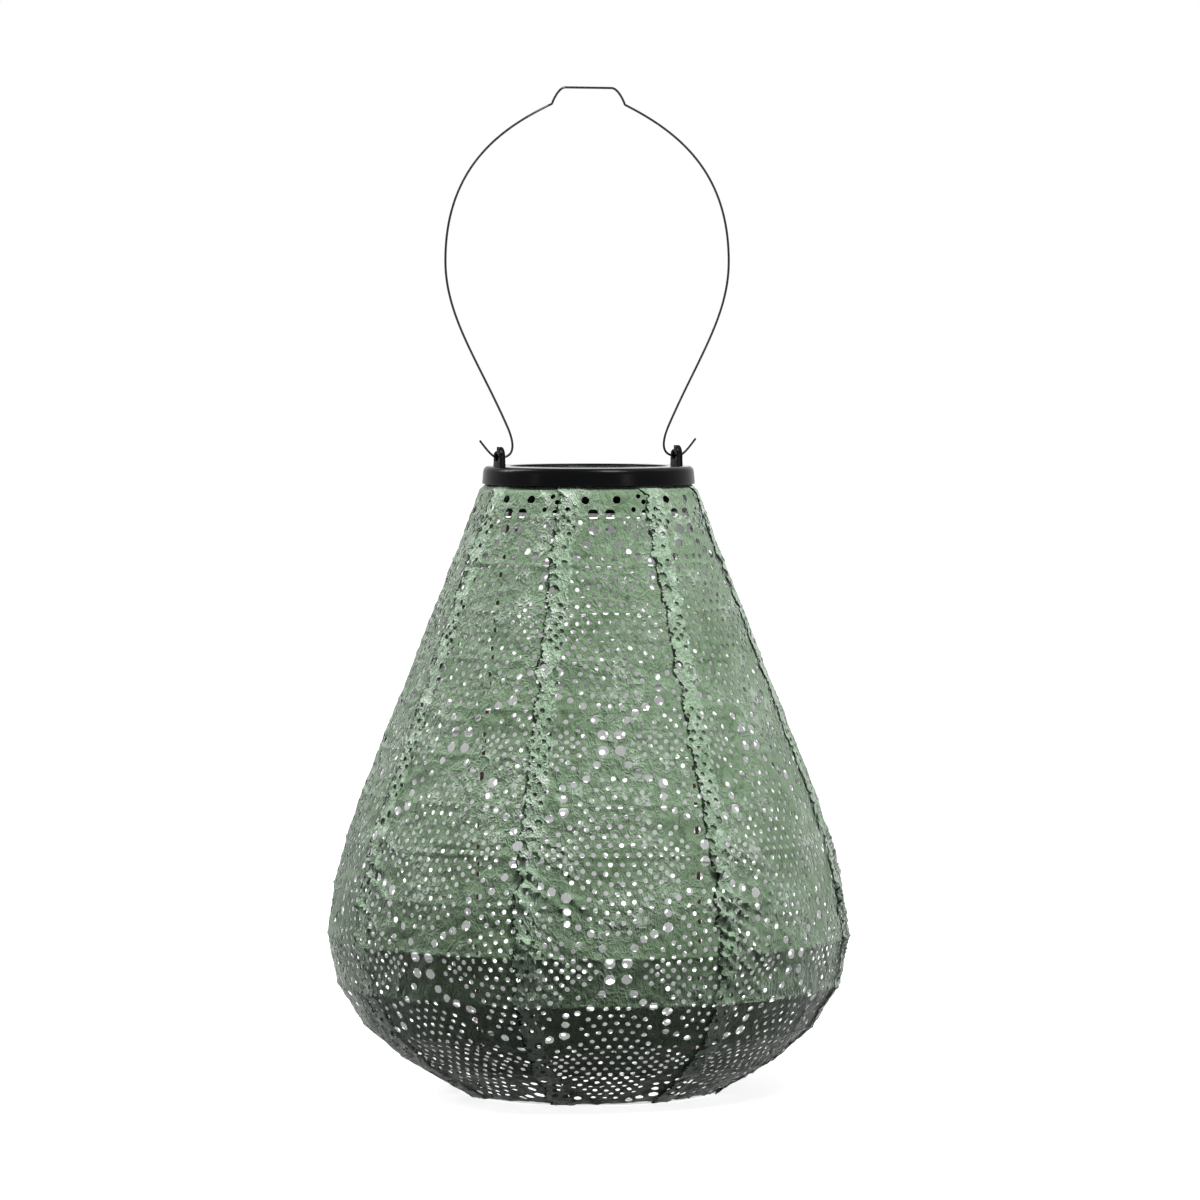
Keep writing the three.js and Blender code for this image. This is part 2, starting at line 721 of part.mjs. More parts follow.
// Lower half of the light unit: a round plate with a tongue that fits inside the housing's wall, the
// battery bay, and openings for the diffuser, the battery door, the switch and the screws
function unitBaseGeometry() {
  const tongueRadius = unitInner - seatGap;
  const plate = turned([
    [diffuser.radius + seatGap, unitBottomZ],
    [unitRadius - cover.bevel, unitBottomZ],
    [unitRadius, unitBottomZ + cover.bevel],
    [unitRadius, plateTopZ],
    [tongueRadius, plateTopZ],
    [tongueRadius, plateTopZ + tongue.height],
    [tongueRadius - tongue.wall, plateTopZ + tongue.height],
    [tongueRadius - tongue.wall, plateTopZ],
    [diffuser.radius + seatGap, plateTopZ],
  ]);
  const bayX = bayEnd + bay.wall;
  const bayY = baySide + bay.wall;
  const bayTop = plateTopZ + bay.height;
  const joined = [
    block(-bayX, bayX, battery.y - bayY, battery.y + bayY, unitBottomZ, bayTop),
    post(doorScrewX, battery.y, doorScrew.boss, plateTopZ - past, plateTopZ + doorScrew.length),
  ];
  const slotX = (knob.length + knob.travel) / 2 + seatGap;
  const slotY = knob.width / 2 + seatGap;
  const doorTop = unitBottomZ + door.thickness + seatGap;
  const below = unitBottomZ - past;
  const pilotTop = plateTopZ + doorScrew.length + past;
  const cut = [
    block(-bayEnd, bayEnd, battery.y - baySide, battery.y + baySide, below, bayTop + past),
    ...doorOutline(seatGap, below, doorTop),
    post(doorScrewX, battery.y, doorScrew.shank + seatGap, unitBottomZ, pilotTop),
    block(-slotX, slotX, knob.y - slotY, knob.y + slotY, below, plateTopZ + past),
  ];
  bossPlaces.forEach(([x, y]) => {
    cut.push(post(x, y, screw.shank + seatGap, below, plateTopZ + past));
    cut.push(post(x, y, screw.head + seatGap, below, unitBottomZ + screw.headHeight + seatGap));
  });
  return shaped(plate, joined, cut);
}

function sealGeometry() {
  const z = plateTopZ + seatGap;
  const outer = unitRadius - seatGap / 2;
  return turned([
    [outer - seal.width, z],
    [outer, z],
    [outer, z + seal.thickness],
    [outer - seal.width, z + seal.thickness],
  ]);
}

// Milky dome under the light-emitting diode, held by its flange inside the base plate
function diffuserGeometry() {
  const z = plateTopZ + seatGap;
  const inner = diffuser.radius - diffuser.wall;
  return turned(
    [
      ...domeProfile(diffuser.radius, diffuser.drop, unitBottomZ),
      [diffuser.radius, z],
      [diffuser.flange, z],
      [diffuser.flange, z + diffuser.flangeThickness],
      [inner, z + diffuser.flangeThickness],
      ...domeProfile(inner, diffuser.drop - diffuser.wall, unitBottomZ).reverse(),
    ],
    aroundSmall,
  );
}

function batteryGeometry() {
  const half = battery.length / 2;
  const body = turned(
    [
      [0, -half],
      [battery.radius, -half],
      [battery.radius, half],
      [battery.nubRadius, half],
      [battery.nubRadius, half + battery.nub],
      [0, half + battery.nub],
    ],
    aroundSmall,
  );
  return body.rotateY(Math.PI / 2).translate(0, battery.y, batteryZ);
}

// Spring-metal contact plate at one end of the battery bay
function contactGeometry(side) {
  const far = side > 0 ? bayEnd - seatGap : -battery.length / 2 - seatGap;
  const half = contact.side / 2;
  const { y } = battery;
  return block(far - contact.thickness, far, y - half, y + half, batteryZ - half, batteryZ + half);
}

function doorGeometry() {
  const { y } = battery;
  const topZ = unitBottomZ + door.thickness;
  const [plate, ...tab] = doorOutline(0, unitBottomZ, topZ);
  const hollowEnd = battery.length / 2 + battery.nub + seatGap;
  const hollow = disc(battery.radius + seatGap, -battery.length, hollowEnd, aroundSmall)
    .rotateY(Math.PI / 2)
    .translate(0, y, batteryZ);
  const headZ = unitBottomZ + doorScrew.headHeight;
  const head = post(doorScrewX, y, doorScrew.head + seatGap, unitBottomZ - past, headZ);
  const shank = post(doorScrewX, y, doorScrew.shank + seatGap, unitBottomZ, topZ + past);
  return shaped(plate, tab, [hollow, head, shank]);
}

// A pan-head screw that points up, its head's underside at the given height
function screwGeometry(x, y, size, headZ) {
  const seatZ = headZ + size.headHeight;
  const half = screwCrown.slotWidth / 2;
  const slot = block(-size.head, size.head, -half, half, headZ - past, headZ + size.slotDepth);
  const body = turned(
    [
      [0, headZ],
      [size.head - screwCrown.radius, headZ],
      [size.head, headZ + screwCrown.height],
      [size.head, seatZ],
      [size.shank, seatZ],
      [size.shank, seatZ + size.length],
      [0, seatZ + size.length],
    ],
    aroundPost,
  );
  return shaped(body, [], [slot]).translate(x, y, 0);
}

function switchBodyGeometry() {
  const top = boardZ - seatGap;
  const halfX = switchBody.length / 2;
  const halfY = switchBody.width / 2;
  return block(-halfX, halfX, knob.y - halfY, knob.y + halfY, top - switchBody.height, top);
}

// Switch knob, at the off end of its travel: a grooved stub through the slot, a shoe above it and a stem
function knobGeometry() {
  const faceZ = unitBottomZ - knob.proud;
  const shoeZ = plateTopZ + seatGap;
  const shoeMiddle = shoeZ + knobShoe.thickness / 2;
  const stemTop = boardZ - seatGap - switchBody.height - seatGap;
  // A box centred on the knob, given by its half sizes.
  const centred = (halfX, halfY, z0, z1) => block(-halfX, halfX, -halfY, halfY, z0, z1);
  const halfX = knob.length / 2;
  const halfY = knob.width / 2;
  const body = centred(halfX, halfY, faceZ, shoeMiddle);
  const shoeTop = shoeZ + knobShoe.thickness;
  const shoe = centred(halfX + knobShoe.endMargin, halfY + knobShoe.sideMargin, shoeZ, shoeTop);
  const stem = centred(knobShoe.stem / 2, knobShoe.stem / 2, shoeMiddle, stemTop);
  const groove = centred(knobGroove.width / 2, knob.width, faceZ - past, faceZ + knobGroove.depth);
  const grooves = [-1, 0, 1].map((i) => groove.clone().translate(i * knobGroove.pitch, 0, 0));
  return shaped(body, [shoe, stem], grooves).translate(-knob.travel / 2, knob.y, 0);
}

// Assembly
const lantern = new THREE.Group();
lantern.name = "lantern";

function addPiece(group, name, geometry, material) {
  const mesh = new THREE.Mesh(geometry, material);
  mesh.name = name;
  group.add(mesh);
}

const frame = new THREE.Group();
addPiece(frame, "top_collar", collarGeometry(), finish.blackPlastic);
addPiece(frame, "base_ring", baseRingGeometry(), finish.whiteWire);
addPiece(frame, "spreader_leg_left", legGeometry(-1), finish.darkWire);
addPiece(frame, "spreader_leg_right", legGeometry(1), finish.darkWire);
for (let i = 0; i < hoop.count; i++)
  addPiece(frame, `hoop_${String(i + 1).padStart(2, "0")}`, hoopGeometry(i), finish.whiteWire);
for (let i = 0; i < cloth.panels; i++)
  addPiece(frame, `shade_panel_${i + 1}`, panelGeometry(i), finish.cloth);

const handle = new THREE.Group();
addPiece(handle, "bail", bailGeometry(), finish.brightWire);

const light = new THREE.Group();
addPiece(light, "unit_housing", housingGeometry(), finish.blackPlastic);
addPiece(light, "unit_base", unitBaseGeometry(), finish.blackPlastic);
addPiece(light, "unit_seal", sealGeometry(), finish.rubber);
addPiece(light, "solar_cover", coverGeometry(), finish.clearPlastic);
addPiece(light, "solar_cell", cellGeometry(), finish.silicon);
addPiece(light, "circuit_board", boardGeometry(), finish.boardGreen);
addPiece(light, "led", ledGeometry(), finish.milky);
addPiece(light, "diffuser", diffuserGeometry(), finish.milky);
addPiece(light, "battery", batteryGeometry(), finish.cellSleeve);
addPiece(light, "contact_minus", contactGeometry(-1), finish.zinc);
addPiece(light, "contact_plus", contactGeometry(1), finish.zinc);
addPiece(light, "battery_door", doorGeometry(), finish.blackPlastic);
const doorScrewSolid = screwGeometry(doorScrewX, battery.y, doorScrew, unitBottomZ);
addPiece(light, "battery_door_screw", doorScrewSolid, finish.zinc);
bossPlaces.forEach(([x, y], i) =>
  addPiece(light, `unit_screw_${i + 1}`, screwGeometry(x, y, screw, unitBottomZ), finish.zinc),
);
addPiece(light, "switch_body", switchBodyGeometry(), finish.rubber);
addPiece(light, "switch_knob", knobGeometry(), finish.blackPlastic);

lantern.add(frame, handle, light);
export default lantern;
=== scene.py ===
# %% [markdown]
# A solar garden lantern. Eight gores of coated, punched cloth hang from a moulded black collar and are
# held out by thirteen wire hoops. A sprung wire bail stands in two split eyelets on the collar, and a
# solar light unit sits in the collar's mouth. The model of its construction is loaded first. It is the
# fixed frame: every piece below takes its place and size from it, and nothing in it is moved. The folds of
# the cloth are noise, which the clock would seed. It gets a fixed seed, so every run makes the same lantern.

import math

import bmesh
import bpy
import numpy as np
from mathutils import Matrix, Vector, geometry, noise


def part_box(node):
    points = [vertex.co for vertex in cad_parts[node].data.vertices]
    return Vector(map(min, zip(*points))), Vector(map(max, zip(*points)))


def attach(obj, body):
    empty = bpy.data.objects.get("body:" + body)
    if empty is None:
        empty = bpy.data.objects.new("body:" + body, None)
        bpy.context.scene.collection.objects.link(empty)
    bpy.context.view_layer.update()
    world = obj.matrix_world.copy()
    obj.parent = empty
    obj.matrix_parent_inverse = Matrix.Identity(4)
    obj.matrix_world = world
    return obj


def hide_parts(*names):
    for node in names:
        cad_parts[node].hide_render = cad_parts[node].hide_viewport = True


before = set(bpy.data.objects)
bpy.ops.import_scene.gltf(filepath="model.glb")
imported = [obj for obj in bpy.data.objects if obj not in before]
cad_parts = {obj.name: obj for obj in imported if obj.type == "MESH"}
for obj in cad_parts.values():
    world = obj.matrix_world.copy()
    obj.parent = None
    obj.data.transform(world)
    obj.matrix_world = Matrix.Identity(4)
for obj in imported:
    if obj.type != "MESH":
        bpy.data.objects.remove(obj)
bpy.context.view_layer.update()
scene = bpy.context.scene
MM = 0.001
noise_seed = 8
noise.seed_set(noise_seed)


def box_mm(name):
    """The lowest and the highest corner of a node's box, in millimetres."""
    return [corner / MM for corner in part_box(name)]


# %% [markdown]
# Blender wants linear colours, and people pick sRGB ones. One function turns a hex colour into the four
# linear numbers of a socket. A second adds one shader node with its settings, values and links, so that a
# material below reads as a short list of nodes.

# %% Colours and nodes
def linear(colour):
    """The four linear numbers of a hex colour."""
    channels = [int(colour[i : i + 2], 16) / 255 for i in (1, 3, 5)]
    return [c / 12.92 if c <= 0.04045 else ((c + 0.055) / 1.055) ** 2.4 for c in channels] + [1]


def add(tree, kind, inputs=None, **settings):
    """One shader node. An input is a value, or the socket that is linked to it."""
    node = tree.nodes.new("ShaderNode" + kind)
    for name, value in settings.items():
        setattr(node, name, value)
    for name, value in (inputs or {}).items():
        if isinstance(value, bpy.types.NodeSocket):
            tree.links.new(value, node.inputs[name])
        else:
            node.inputs[name].default_value = value
    return node


def blank_material(name):
    """A new material without nodes, and its node tree."""
    material = bpy.data.materials.new(name)
    material.use_nodes = True
    material.node_tree.nodes.clear()
    return material, material.node_tree


print("sage in linear light:", [round(c, 3) for c in linear("#8FAA8E")[:3]])

# %% [markdown]
# The photograph is a catalogue picture taken from far away with a long lens, a little above the shade's
# middle and 24 degrees round from the front. So the camera stands 3.2 m off. The lens follows from the
# width that the picture covers at the lantern's axis. The lantern stands 5.9 mm left of the picture's
# middle, so the camera and the place it aims at are moved as far to the right.

# %% Camera
view_turn = math.radians(24)
view_distance = 3200
view_height = 409
aim_height = 253.4
picture_width = 617.3
axis_offset = 5.9

camera = bpy.data.objects.new("camera", bpy.data.cameras.new("camera"))
scene.collection.objects.link(camera)
scene.camera = camera
toward = Vector((math.sin(view_turn), math.cos(view_turn), 0))
sideways = Vector((math.cos(view_turn), -math.sin(view_turn), 0))
camera.location = (axis_offset * sideways - view_distance * toward + Vector((0, 0, view_height))) * MM
aim = (axis_offset * sideways + Vector((0, 0, aim_height))) * MM
camera.rotation_euler = (aim - camera.location).to_track_quat("-Z", "Y").to_euler()
camera.data.lens = camera.data.sensor_width * view_distance / picture_width
print("lens", round(camera.data.lens, 1), "mm")

# %% [markdown]
# The picture's ground is pure white, but the shade's underside is nearly black, so hardly any light came
# up from below. Light Path nodes give both: the camera, reflections and what shows through clear plastic
# see white all round, while the light that falls on the object comes from above, from a bright ceiling.
# The floor keeps a share of real shading, so the lantern's shadow shows on it.

# %% Room and floor
ceiling_light = 0.7
wall_light = 0.015
ceiling_starts = 0.45
ceiling_full = 0.95
floor_glow = 0.86
floor_paint = 0.55
floor_size = 30


def rays_that_look(tree):
    """1 for a ray that sees a surface, straight, mirrored or through plastic, and 0 for one of light."""
    path = add(tree, "LightPath").outputs
    seen = path["Is Camera Ray"]
    for kind in ("Is Glossy Ray", "Is Transmission Ray"):
        seen = add(tree, "Math", {0: seen, 1: path[kind]}, operation="MAXIMUM").outputs[0]
    return seen


world = bpy.data.worlds.new("white_studio")
scene.world = world
world.use_nodes = True
tree = world.node_tree
tree.nodes.clear()
upward = add(tree, "SeparateXYZ", {0: add(tree, "TexCoord").outputs["Generated"]}).outputs["Z"]
slopes = {"Value": upward, "From Min": ceiling_starts, "From Max": ceiling_full}
ceiling = add(tree, "MapRange", {**slopes, "To Min": wall_light, "To Max": ceiling_light}).outputs[0]
strength = add(tree, "Mix", {0: rays_that_look(tree), 2: ceiling, 3: 1.0}).outputs[0]
sky = add(tree, "Background", {"Color": linear("#FFFFFF"), "Strength": strength})
add(tree, "OutputWorld", {"Surface": sky.outputs[0]})

studio_floor, tree = blank_material("matt_white_floor")
glow = add(tree, "Emission", {"Color": linear("#FFFFFF"), "Strength": floor_glow})
paint = add(tree, "BsdfDiffuse", {"Color": (floor_paint, floor_paint, floor_paint, 1)})
shown = add(tree, "AddShader", {0: paint.outputs[0], 1: glow.outputs[0]})
unlit = add(tree, "BsdfDiffuse", {"Color": linear("#141414")})
either = add(tree, "MixShader", {0: rays_that_look(tree), 1: unlit.outputs[0], 2: shown.outputs[0]})
add(tree, "OutputMaterial", {"Surface": either.outputs[0]})

bpy.ops.mesh.primitive_plane_add(size=floor_size)
floor = bpy.context.object
floor.name = "studio_floor"
floor.data.materials.append(studio_floor)
print("a floor", floor_size, "m wide, which the camera sees as white")

# %% [markdown]
# The light on the cloth comes from soft boxes: a large one on the right, high above the camera, and one on
# each side, a little behind the lantern. Two weak strips stand low, for the long highlights on the collar.
# A small lamp inside stands for the light that a white table throws up into the shade, which the holes
# show. It is hidden from the camera and from reflections, because no real lamp hangs there.

# %% Lamps
def lamp(name, place, target, width, height, watts, hidden=False):
    """A soft box of this width and height in metres, turned to its target."""
    light = bpy.data.objects.new(name, bpy.data.lights.new(name, "AREA"))
    light.data.shape = "RECTANGLE"
    light.data.size = width
    light.data.size_y = height
    light.data.energy = watts
    light.location = place
    light.rotation_euler = (target - place).to_track_quat("-Z", "Y").to_euler()
    light.visible_camera = not hidden
    light.visible_glossy = not hidden
    scene.collection.objects.link(light)


def beside(turn, distance, height):
    """A place round the lantern: the turn is from the camera's side, to the left, in degrees."""
    turn = math.radians(turn) + view_turn
    return Vector((-math.sin(turn) * distance, -math.cos(turn) * distance, height))


middle = Vector((0, 0, 0.2))
lamp("key_box", beside(-38, 1.0, 2.0), middle, 0.6, 0.8, 61)
lamp("left_box", beside(110, 1.3, 1.35), middle, 0.3, 1.0, 28)
lamp("right_box", beside(-110, 1.1, 1.6), middle, 0.3, 1.0, 3)
lamp("right_strip", beside(-42, 1.5, 0.55), middle, 0.12, 0.5, 1.8)
lamp("left_strip", beside(60, 1.5, 0.55), middle, 0.1, 0.5, 0.7)
lamp("table_glow", Vector((0, 0, 0.05)), middle, 0.15, 0.15, 0.14, hidden=True)
scene.view_settings.view_transform = "Standard"

# %% [markdown]
# Every piece is made from lists of points in millimetres and faces. One function turns them into a mesh,
# rounds its shading except at real edges, gives it its material, hangs it on an empty for the body it moves
# with, and hides the frame's nodes that it stands for.

# %% Mesh pieces
edge_angle = math.radians(38)


def mesh_piece(name, points, faces, material, body, slot, stands_for=()):
    """A piece from points in millimetres and faces, with its finish, its body and the nodes it replaces. The
    slot is not used.
    """
    mesh = bpy.data.meshes.new(name)
    mesh.from_pydata([Vector(p) * MM for p in points], [], faces)
    work = bmesh.new()
    work.from_mesh(mesh)
    bmesh.ops.remove_doubles(work, verts=work.verts, dist=1e-7)
    bmesh.ops.recalc_face_normals(work, faces=work.faces)
    work.to_mesh(mesh)
    work.free()
    mesh.materials.append(material)
    mesh.shade_smooth()
    mesh.set_sharp_from_angle(angle=edge_angle)
    obj = bpy.data.objects.new(name, mesh)
    scene.collection.objects.link(obj)
    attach(obj, body)
    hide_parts(*stands_for)
    return obj


print("edges sharper than", round(math.degrees(edge_angle)), "degrees stay sharp")

# %% [markdown]
# The collar, the light unit and the rings are round. Each is an outline in the plane of radius and height,
# turned about the Z axis, and the corners of a moulding are rounded before it is turned. The bail is a round
# wire that runs in one plane, so a circle at each point of its route is enough.

# %% Outlines, turned shapes and wires
def eased(corners, steps=5):
    """A closed outline of (radius, height, rounding) corners as points, each corner rounded."""
    points = []
    for i, (x, y, rounding) in enumerate(corners):
        here = Vector((x, y))
        before = Vector(corners[i - 1][:2]) - here
        after = Vector(corners[(i + 1) % len(corners)][:2]) - here
        reach = min(rounding, 0.45 * before.length, 0.45 * after.length)
        start = here + before.normalized() * reach
        end = here + after.normalized() * reach
        count = steps if rounding else 0
        for k in range(count + 1):
            t = k / count if count else 0.5
            points.append((1 - t) ** 2 * start + 2 * t * (1 - t) * here + t * t * end)
    return points


def turned(outline, segments=160):
    """Points and faces of a closed outline turned about the Z axis."""
    points = []
    for k in range(segments):
        turn = 2 * math.pi * k / segments
        points += [(p[0] * math.cos(turn), p[0] * math.sin(turn), p[1]) for p in outline]
    n = len(outline)
    total = n * segments
    faces = []
    for k in range(segments):
        for i in range(n):
            a, b = k * n + i, k * n + (i + 1) % n
            faces.append((a, (a + n) % total, (b + n) % total, b))
    return points, faces


def way_at(route, i):
    """The direction of a route at its point i."""
    return (route[min(i + 1, len(route) - 1)] - route[max(i - 1, 0)]).normalized()


def wire(route, diameter, around=16, chamfer=0.25):
    """Points and faces of a round wire along (x, z) points, with its ends' edges taken off."""
    route = [Vector(p) for p in route]
    ways = [way_at(route, i) for i in range(len(route))]
    rings = [(p, w, diameter / 2) for p, w in zip(route, ways)]
    rings.insert(0, (route[0] - ways[0] * chamfer, ways[0], diameter / 2 - chamfer))
    rings.append((route[-1] + ways[-1] * chamfer, ways[-1], diameter / 2 - chamfer))
    points = []
    for centre, way, radius in rings:
        for k in range(around):
            turn = 2 * math.pi * k / around
            out = radius * math.cos(turn)
            points.append((centre.x - way.y * out, radius * math.sin(turn), centre.y + way.x * out))
    faces = []
    for i in range(len(rings) - 1):
        for k in range(around):
            a, b = i * around + k, i * around + (k + 1) % around
            faces.append((a, b, b + around, a + around))
    faces.append(tuple(range(around - 1, -1, -1)))
    faces.append(tuple(range((len(rings) - 1) * around, len(rings) * around)))
    return points, faces


trial_section = [(1, 0, 0.1), (2, 0, 0.1), (2, 1, 0.1), (1, 1, 0.1)]
print("a square section with rounded corners has", len(eased(trial_section)), "points")

# %% [markdown]
# The cloth is a thin polyester taffeta with a pearl-pigmented coating, heat-set in creases. A coated weave
# of this kind is satin, and it has been crushed, which leaves small facets with sharp creases between them.
# Voronoi cells give the facets, once noise has shifted them out of their even order, and ridged noise lays
# two finer sets of crests over them. The colour is painted pale on what stands proud, as painted highlight,
# and dark in the creases, as painted shade. The folds that show as shapes are in the mesh below, and only
# these fine ones are bump. The back is uncoated and a pale, neutral grey. A cut edge is near-black, partly
# for its bare threads and partly as painted shadow.

# %% Cloth materials
crumple = 10.0
facet_height = 2.6
drift_size = 14.0
drift_reach = 9.0
wrinkle = 3.375
crinkle = 2.0
mottle = 30.0
calm_share = 0.35
crease_shade_top = 0.35
crease_shade_share = 0.8
glint_starts = 0.9
glint_ends = 1.7
glint_share = 0.48


def crushed(tree, where, broad):
    """The height of crushed cloth: shifted facets and two sets of crests, calmer in some patches."""
    drift = {"Vector": where, "Scale": 1 / (drift_size * MM), "Detail": 3.0}
    drift = add(tree, "TexNoise", drift).outputs["Color"]
    shifted = {0: drift, 1: [drift_reach * MM] * 3, 2: where}
    shifted = add(tree, "VectorMath", shifted, operation="MULTIPLY_ADD").outputs[0]
    facets = {"Vector": shifted, "Scale": 1 / (crumple * MM)}
    creased = add(tree, "TexVoronoi", facets, feature="DISTANCE_TO_EDGE").outputs["Distance"]
    height = add(tree, "Math", {0: creased, 1: facet_height}, operation="MULTIPLY").outputs[0]
    for size, squeeze, share in ((wrinkle, 0.5, 0.4), (crinkle, 0.8, 0.25)):
        pulled = add(tree, "Mapping", {"Vector": where, "Scale": (1.0, 1.0, squeeze)}).outputs[0]
        folded = {"Vector": pulled, "Scale": 1 / (size * MM), "Detail": 2.5}
        folded = {**folded, "Offset": 1.0, "Distortion": 0.8}
        crests = add(tree, "TexNoise", folded, noise_type="RIDGED_MULTIFRACTAL").outputs["Fac"]
        sharp = add(tree, "Math", {0: crests, 1: 2.0}, operation="POWER").outputs[0]
        raised = add(tree, "Math", {0: sharp, 1: share}, operation="MULTIPLY").outputs[0]
        height = add(tree, "Math", {0: height, 1: raised}, operation="ADD").outputs[0]
    patches = {"Value": broad, "From Min": 0.38, "From Max": 0.62, "To Min": calm_share}
    calm = add(tree, "MapRange", patches).outputs[0]
    return add(tree, "Math", {0: height, 1: calm}, operation="MULTIPLY").outputs[0]


def taffeta(name, base, worn, painted_glint, painted_crease_shade, shine, roughness, bump):
    """Crushed cloth, worn in patches, with painted highlight on crests and painted shade in creases."""
    material, tree = blank_material(name)
    where = add(tree, "TexCoord").outputs["Object"]
    broad = {"Vector": where, "Scale": 1 / (mottle * MM), "Detail": 3.0}
    broad = add(tree, "TexNoise", broad).outputs["Fac"]
    height = crushed(tree, where, broad)
    coat = {0: broad, 6: linear(base), 7: linear(worn)}
    colour = add(tree, "Mix", coat, data_type="RGBA").outputs[2]
    # Painted shade: the colour darkens in the creases, where the height is low.
    low = {"Value": height, "From Max": crease_shade_top, "To Min": crease_shade_share, "To Max": 0.0}
    low = add(tree, "MapRange", low).outputs[0]
    colour = add(tree, "Mix", {0: low, 6: colour, 7: linear(painted_crease_shade)}, data_type="RGBA").outputs[2]
    # Painted highlight: the colour pales on the highest crests.
    high = {"Value": height, "From Min": glint_starts, "From Max": glint_ends, "To Max": glint_share}
    high = add(tree, "MapRange", high).outputs[0]
    colour = add(tree, "Mix", {0: high, 6: colour, 7: linear(painted_glint)}, data_type="RGBA").outputs[2]
    raised = add(tree, "Bump", {"Height": height, "Strength": 1.0, "Distance": bump * MM}).outputs[0]
    values = {"Base Color": colour, "Roughness": roughness, "Specular IOR Level": shine, "Normal": raised}
    satin = {"Sheen Weight": 0.45, "Sheen Roughness": 0.35, "Sheen Tint": linear("#E8F2EC")}
    cloth = add(tree, "BsdfPrincipled", {**values, **satin})
    add(tree, "OutputMaterial", {"Surface": cloth.outputs[0]})
    return material


# Columns: base, worn, painted glint on the crests, painted shade in the creases, shine, roughness, bump.
coats = {
    "pearl_coated_taffeta": ("#566D51", "#8BA087", "#D2DFD3", "#3A4F34", 0.05, 0.24, 0.7),
    # The glued strip is painted paler than the face, as painted highlight, with near-white painted glints on
    # its crests.
    "glued_seam_taffeta": ("#7A9478", "#A2B9A0", "#F4F8F4", "#3E5039", 0.15, 0.2, 0.9),
    "uncoated_taffeta_back": ("#E2E3E2", "#EDEEED", "#F0F0F0", "#D9DAD9", 0.1, 0.8, 0.2),
    # The cut edge is near-black, partly for its bare threads and partly as painted shadow under the raw edge
    # and on the hole walls.
    "shaded_cut_taffeta_edge": ("#171D19", "#262E26", "#262E26", "#171D19", 0.05, 0.8, 0.1),
}
coated_face, glued_seam, uncoated_back, cut_edge_and_shade = (taffeta(name, *coats[name]) for name in coats)
print("cloth materials", list(coats))

# %% [markdown]
# One gore is a long leaf of cloth. Seen flat, v runs down it from the collar's lip and u across it from
# its middle. Its half width at v is an eighth of half the shade's circumference there, so the profile of
# the shade is needed first. It is read off the hoops: the cloth lies on each of them, and is creased there.
# The frame's hoops have four sides, so their boxes stop short of the round wire.

# %% The shade's profile
gores = 8
first_seam = 5.0
seam_lap = 11.0
hoop_wire = 1.6
hoop_reach = hoop_wire / 2 * math.cos(math.pi / 4)
cloth_thickness = 0.25
cloth_gap = 0.15
eyelet_height = 10.2
lip_depth = 9.2
hoop_names = [f"hoop_{i:02d}" for i in range(1, 14)]


def ring_of(name, half_section):
    """The radius and the height of a ring's wire, from the ring's box."""
    low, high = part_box(name)
    return high.x / MM - half_section, (low.z + high.z) / 2 / MM


hoops = [ring_of(name, hoop_reach) for name in hoop_names]
collar_low, collar_high = box_mm("top_collar")
lip_radius = collar_high.x
collar_top = collar_high.z - eyelet_height
lip_height = collar_top - lip_depth
hem = [
    (lip_radius - 3.6, lip_height + 6),
    (lip_radius - 2.8, lip_height - 0.8),
    (lip_radius + 0.5, lip_height - 2.2),
]
ring_high = box_mm("base_ring")[1]
edge = (ring_high.x + 0.7, 1.2)

offset = hoop_wire / 2 + cloth_gap + cloth_thickness
rows = [Vector(p) for p in (*hem, *hoops, edge)]
normals = []
for i in range(len(rows)):
    along = way_at(rows, i)
    normals.append(Vector((-along.y, along.x)))
for i in range(len(hem), len(hem) + len(hoops)):
    rows[i] = rows[i] + normals[i] * offset

lengths = [0.0]
for a, b in zip(rows, rows[1:]):
    lengths.append(lengths[-1] + (b - a).length)
row_v = np.array(lengths) - lengths[len(hem) - 1]
row_r = np.array([p.x for p in rows])
row_z = np.array([p.y for p in rows])
row_nr = np.array([n.x for n in normals])
row_nz = np.array([n.y for n in normals])
crease_v = row_v[len(hem) : -1]
v_top, v_bottom = row_v[0], row_v[-1]


def half_width(v):
    """Half of a gore's width at v, without the lap."""
    return math.pi / gores * np.interp(v, row_v, row_r)


# %% [markdown]
# The cloth is punched all over with round holes, and they give the lantern its light. Four large holes in a
# square mark each knot of the pattern. From a knot, four chains of middling holes swing out, drop straight
# down for a little and swing out again to the next knot, half a cell away to the side and below. The ogee
# cells between the chains are filled with bowed rows of small dots. The cloth is punched before it is cut,
# so the seams run through the pattern wherever they fall. A hole is placed only where it leaves a bridge of
# cloth to the ones before, and the dots keep a plain margin along the chains, which makes the cells show.

# %% Hole pattern
cell_width = 102.0
cell_height = 116.5
knot_row = crease_v[9] + 6.2
knot = [(4.3, 4.2, 2.85)]
chain = [
    (8.0, 11.8, 2.15),
    (12.8, 16.0, 2.05),
    (18.2, 18.6, 2.3),
    (25.5, 21.6, 2.8),
    (25.6, 28.6, 2.2),
    (25.5, 34.4, 1.8),
    (31.2, 36.2, 1.7),
    (37.4, 39.2, 2.0),
    (43.0, 46.6, 2.1),
]
dot_hole = 1.3
dot_pitch = 5.7
row_pitch = 4.9
row_bow = 90.0
bridge = 0.7
clear_of_chain = 3.8
smallest_chain_hole = 1.6
plain_hem = 12
plain_foot = 2
cell_fill = 1.02
bowed_rows = 4
stray = 0.3
size_stray = 0.1

holes = []


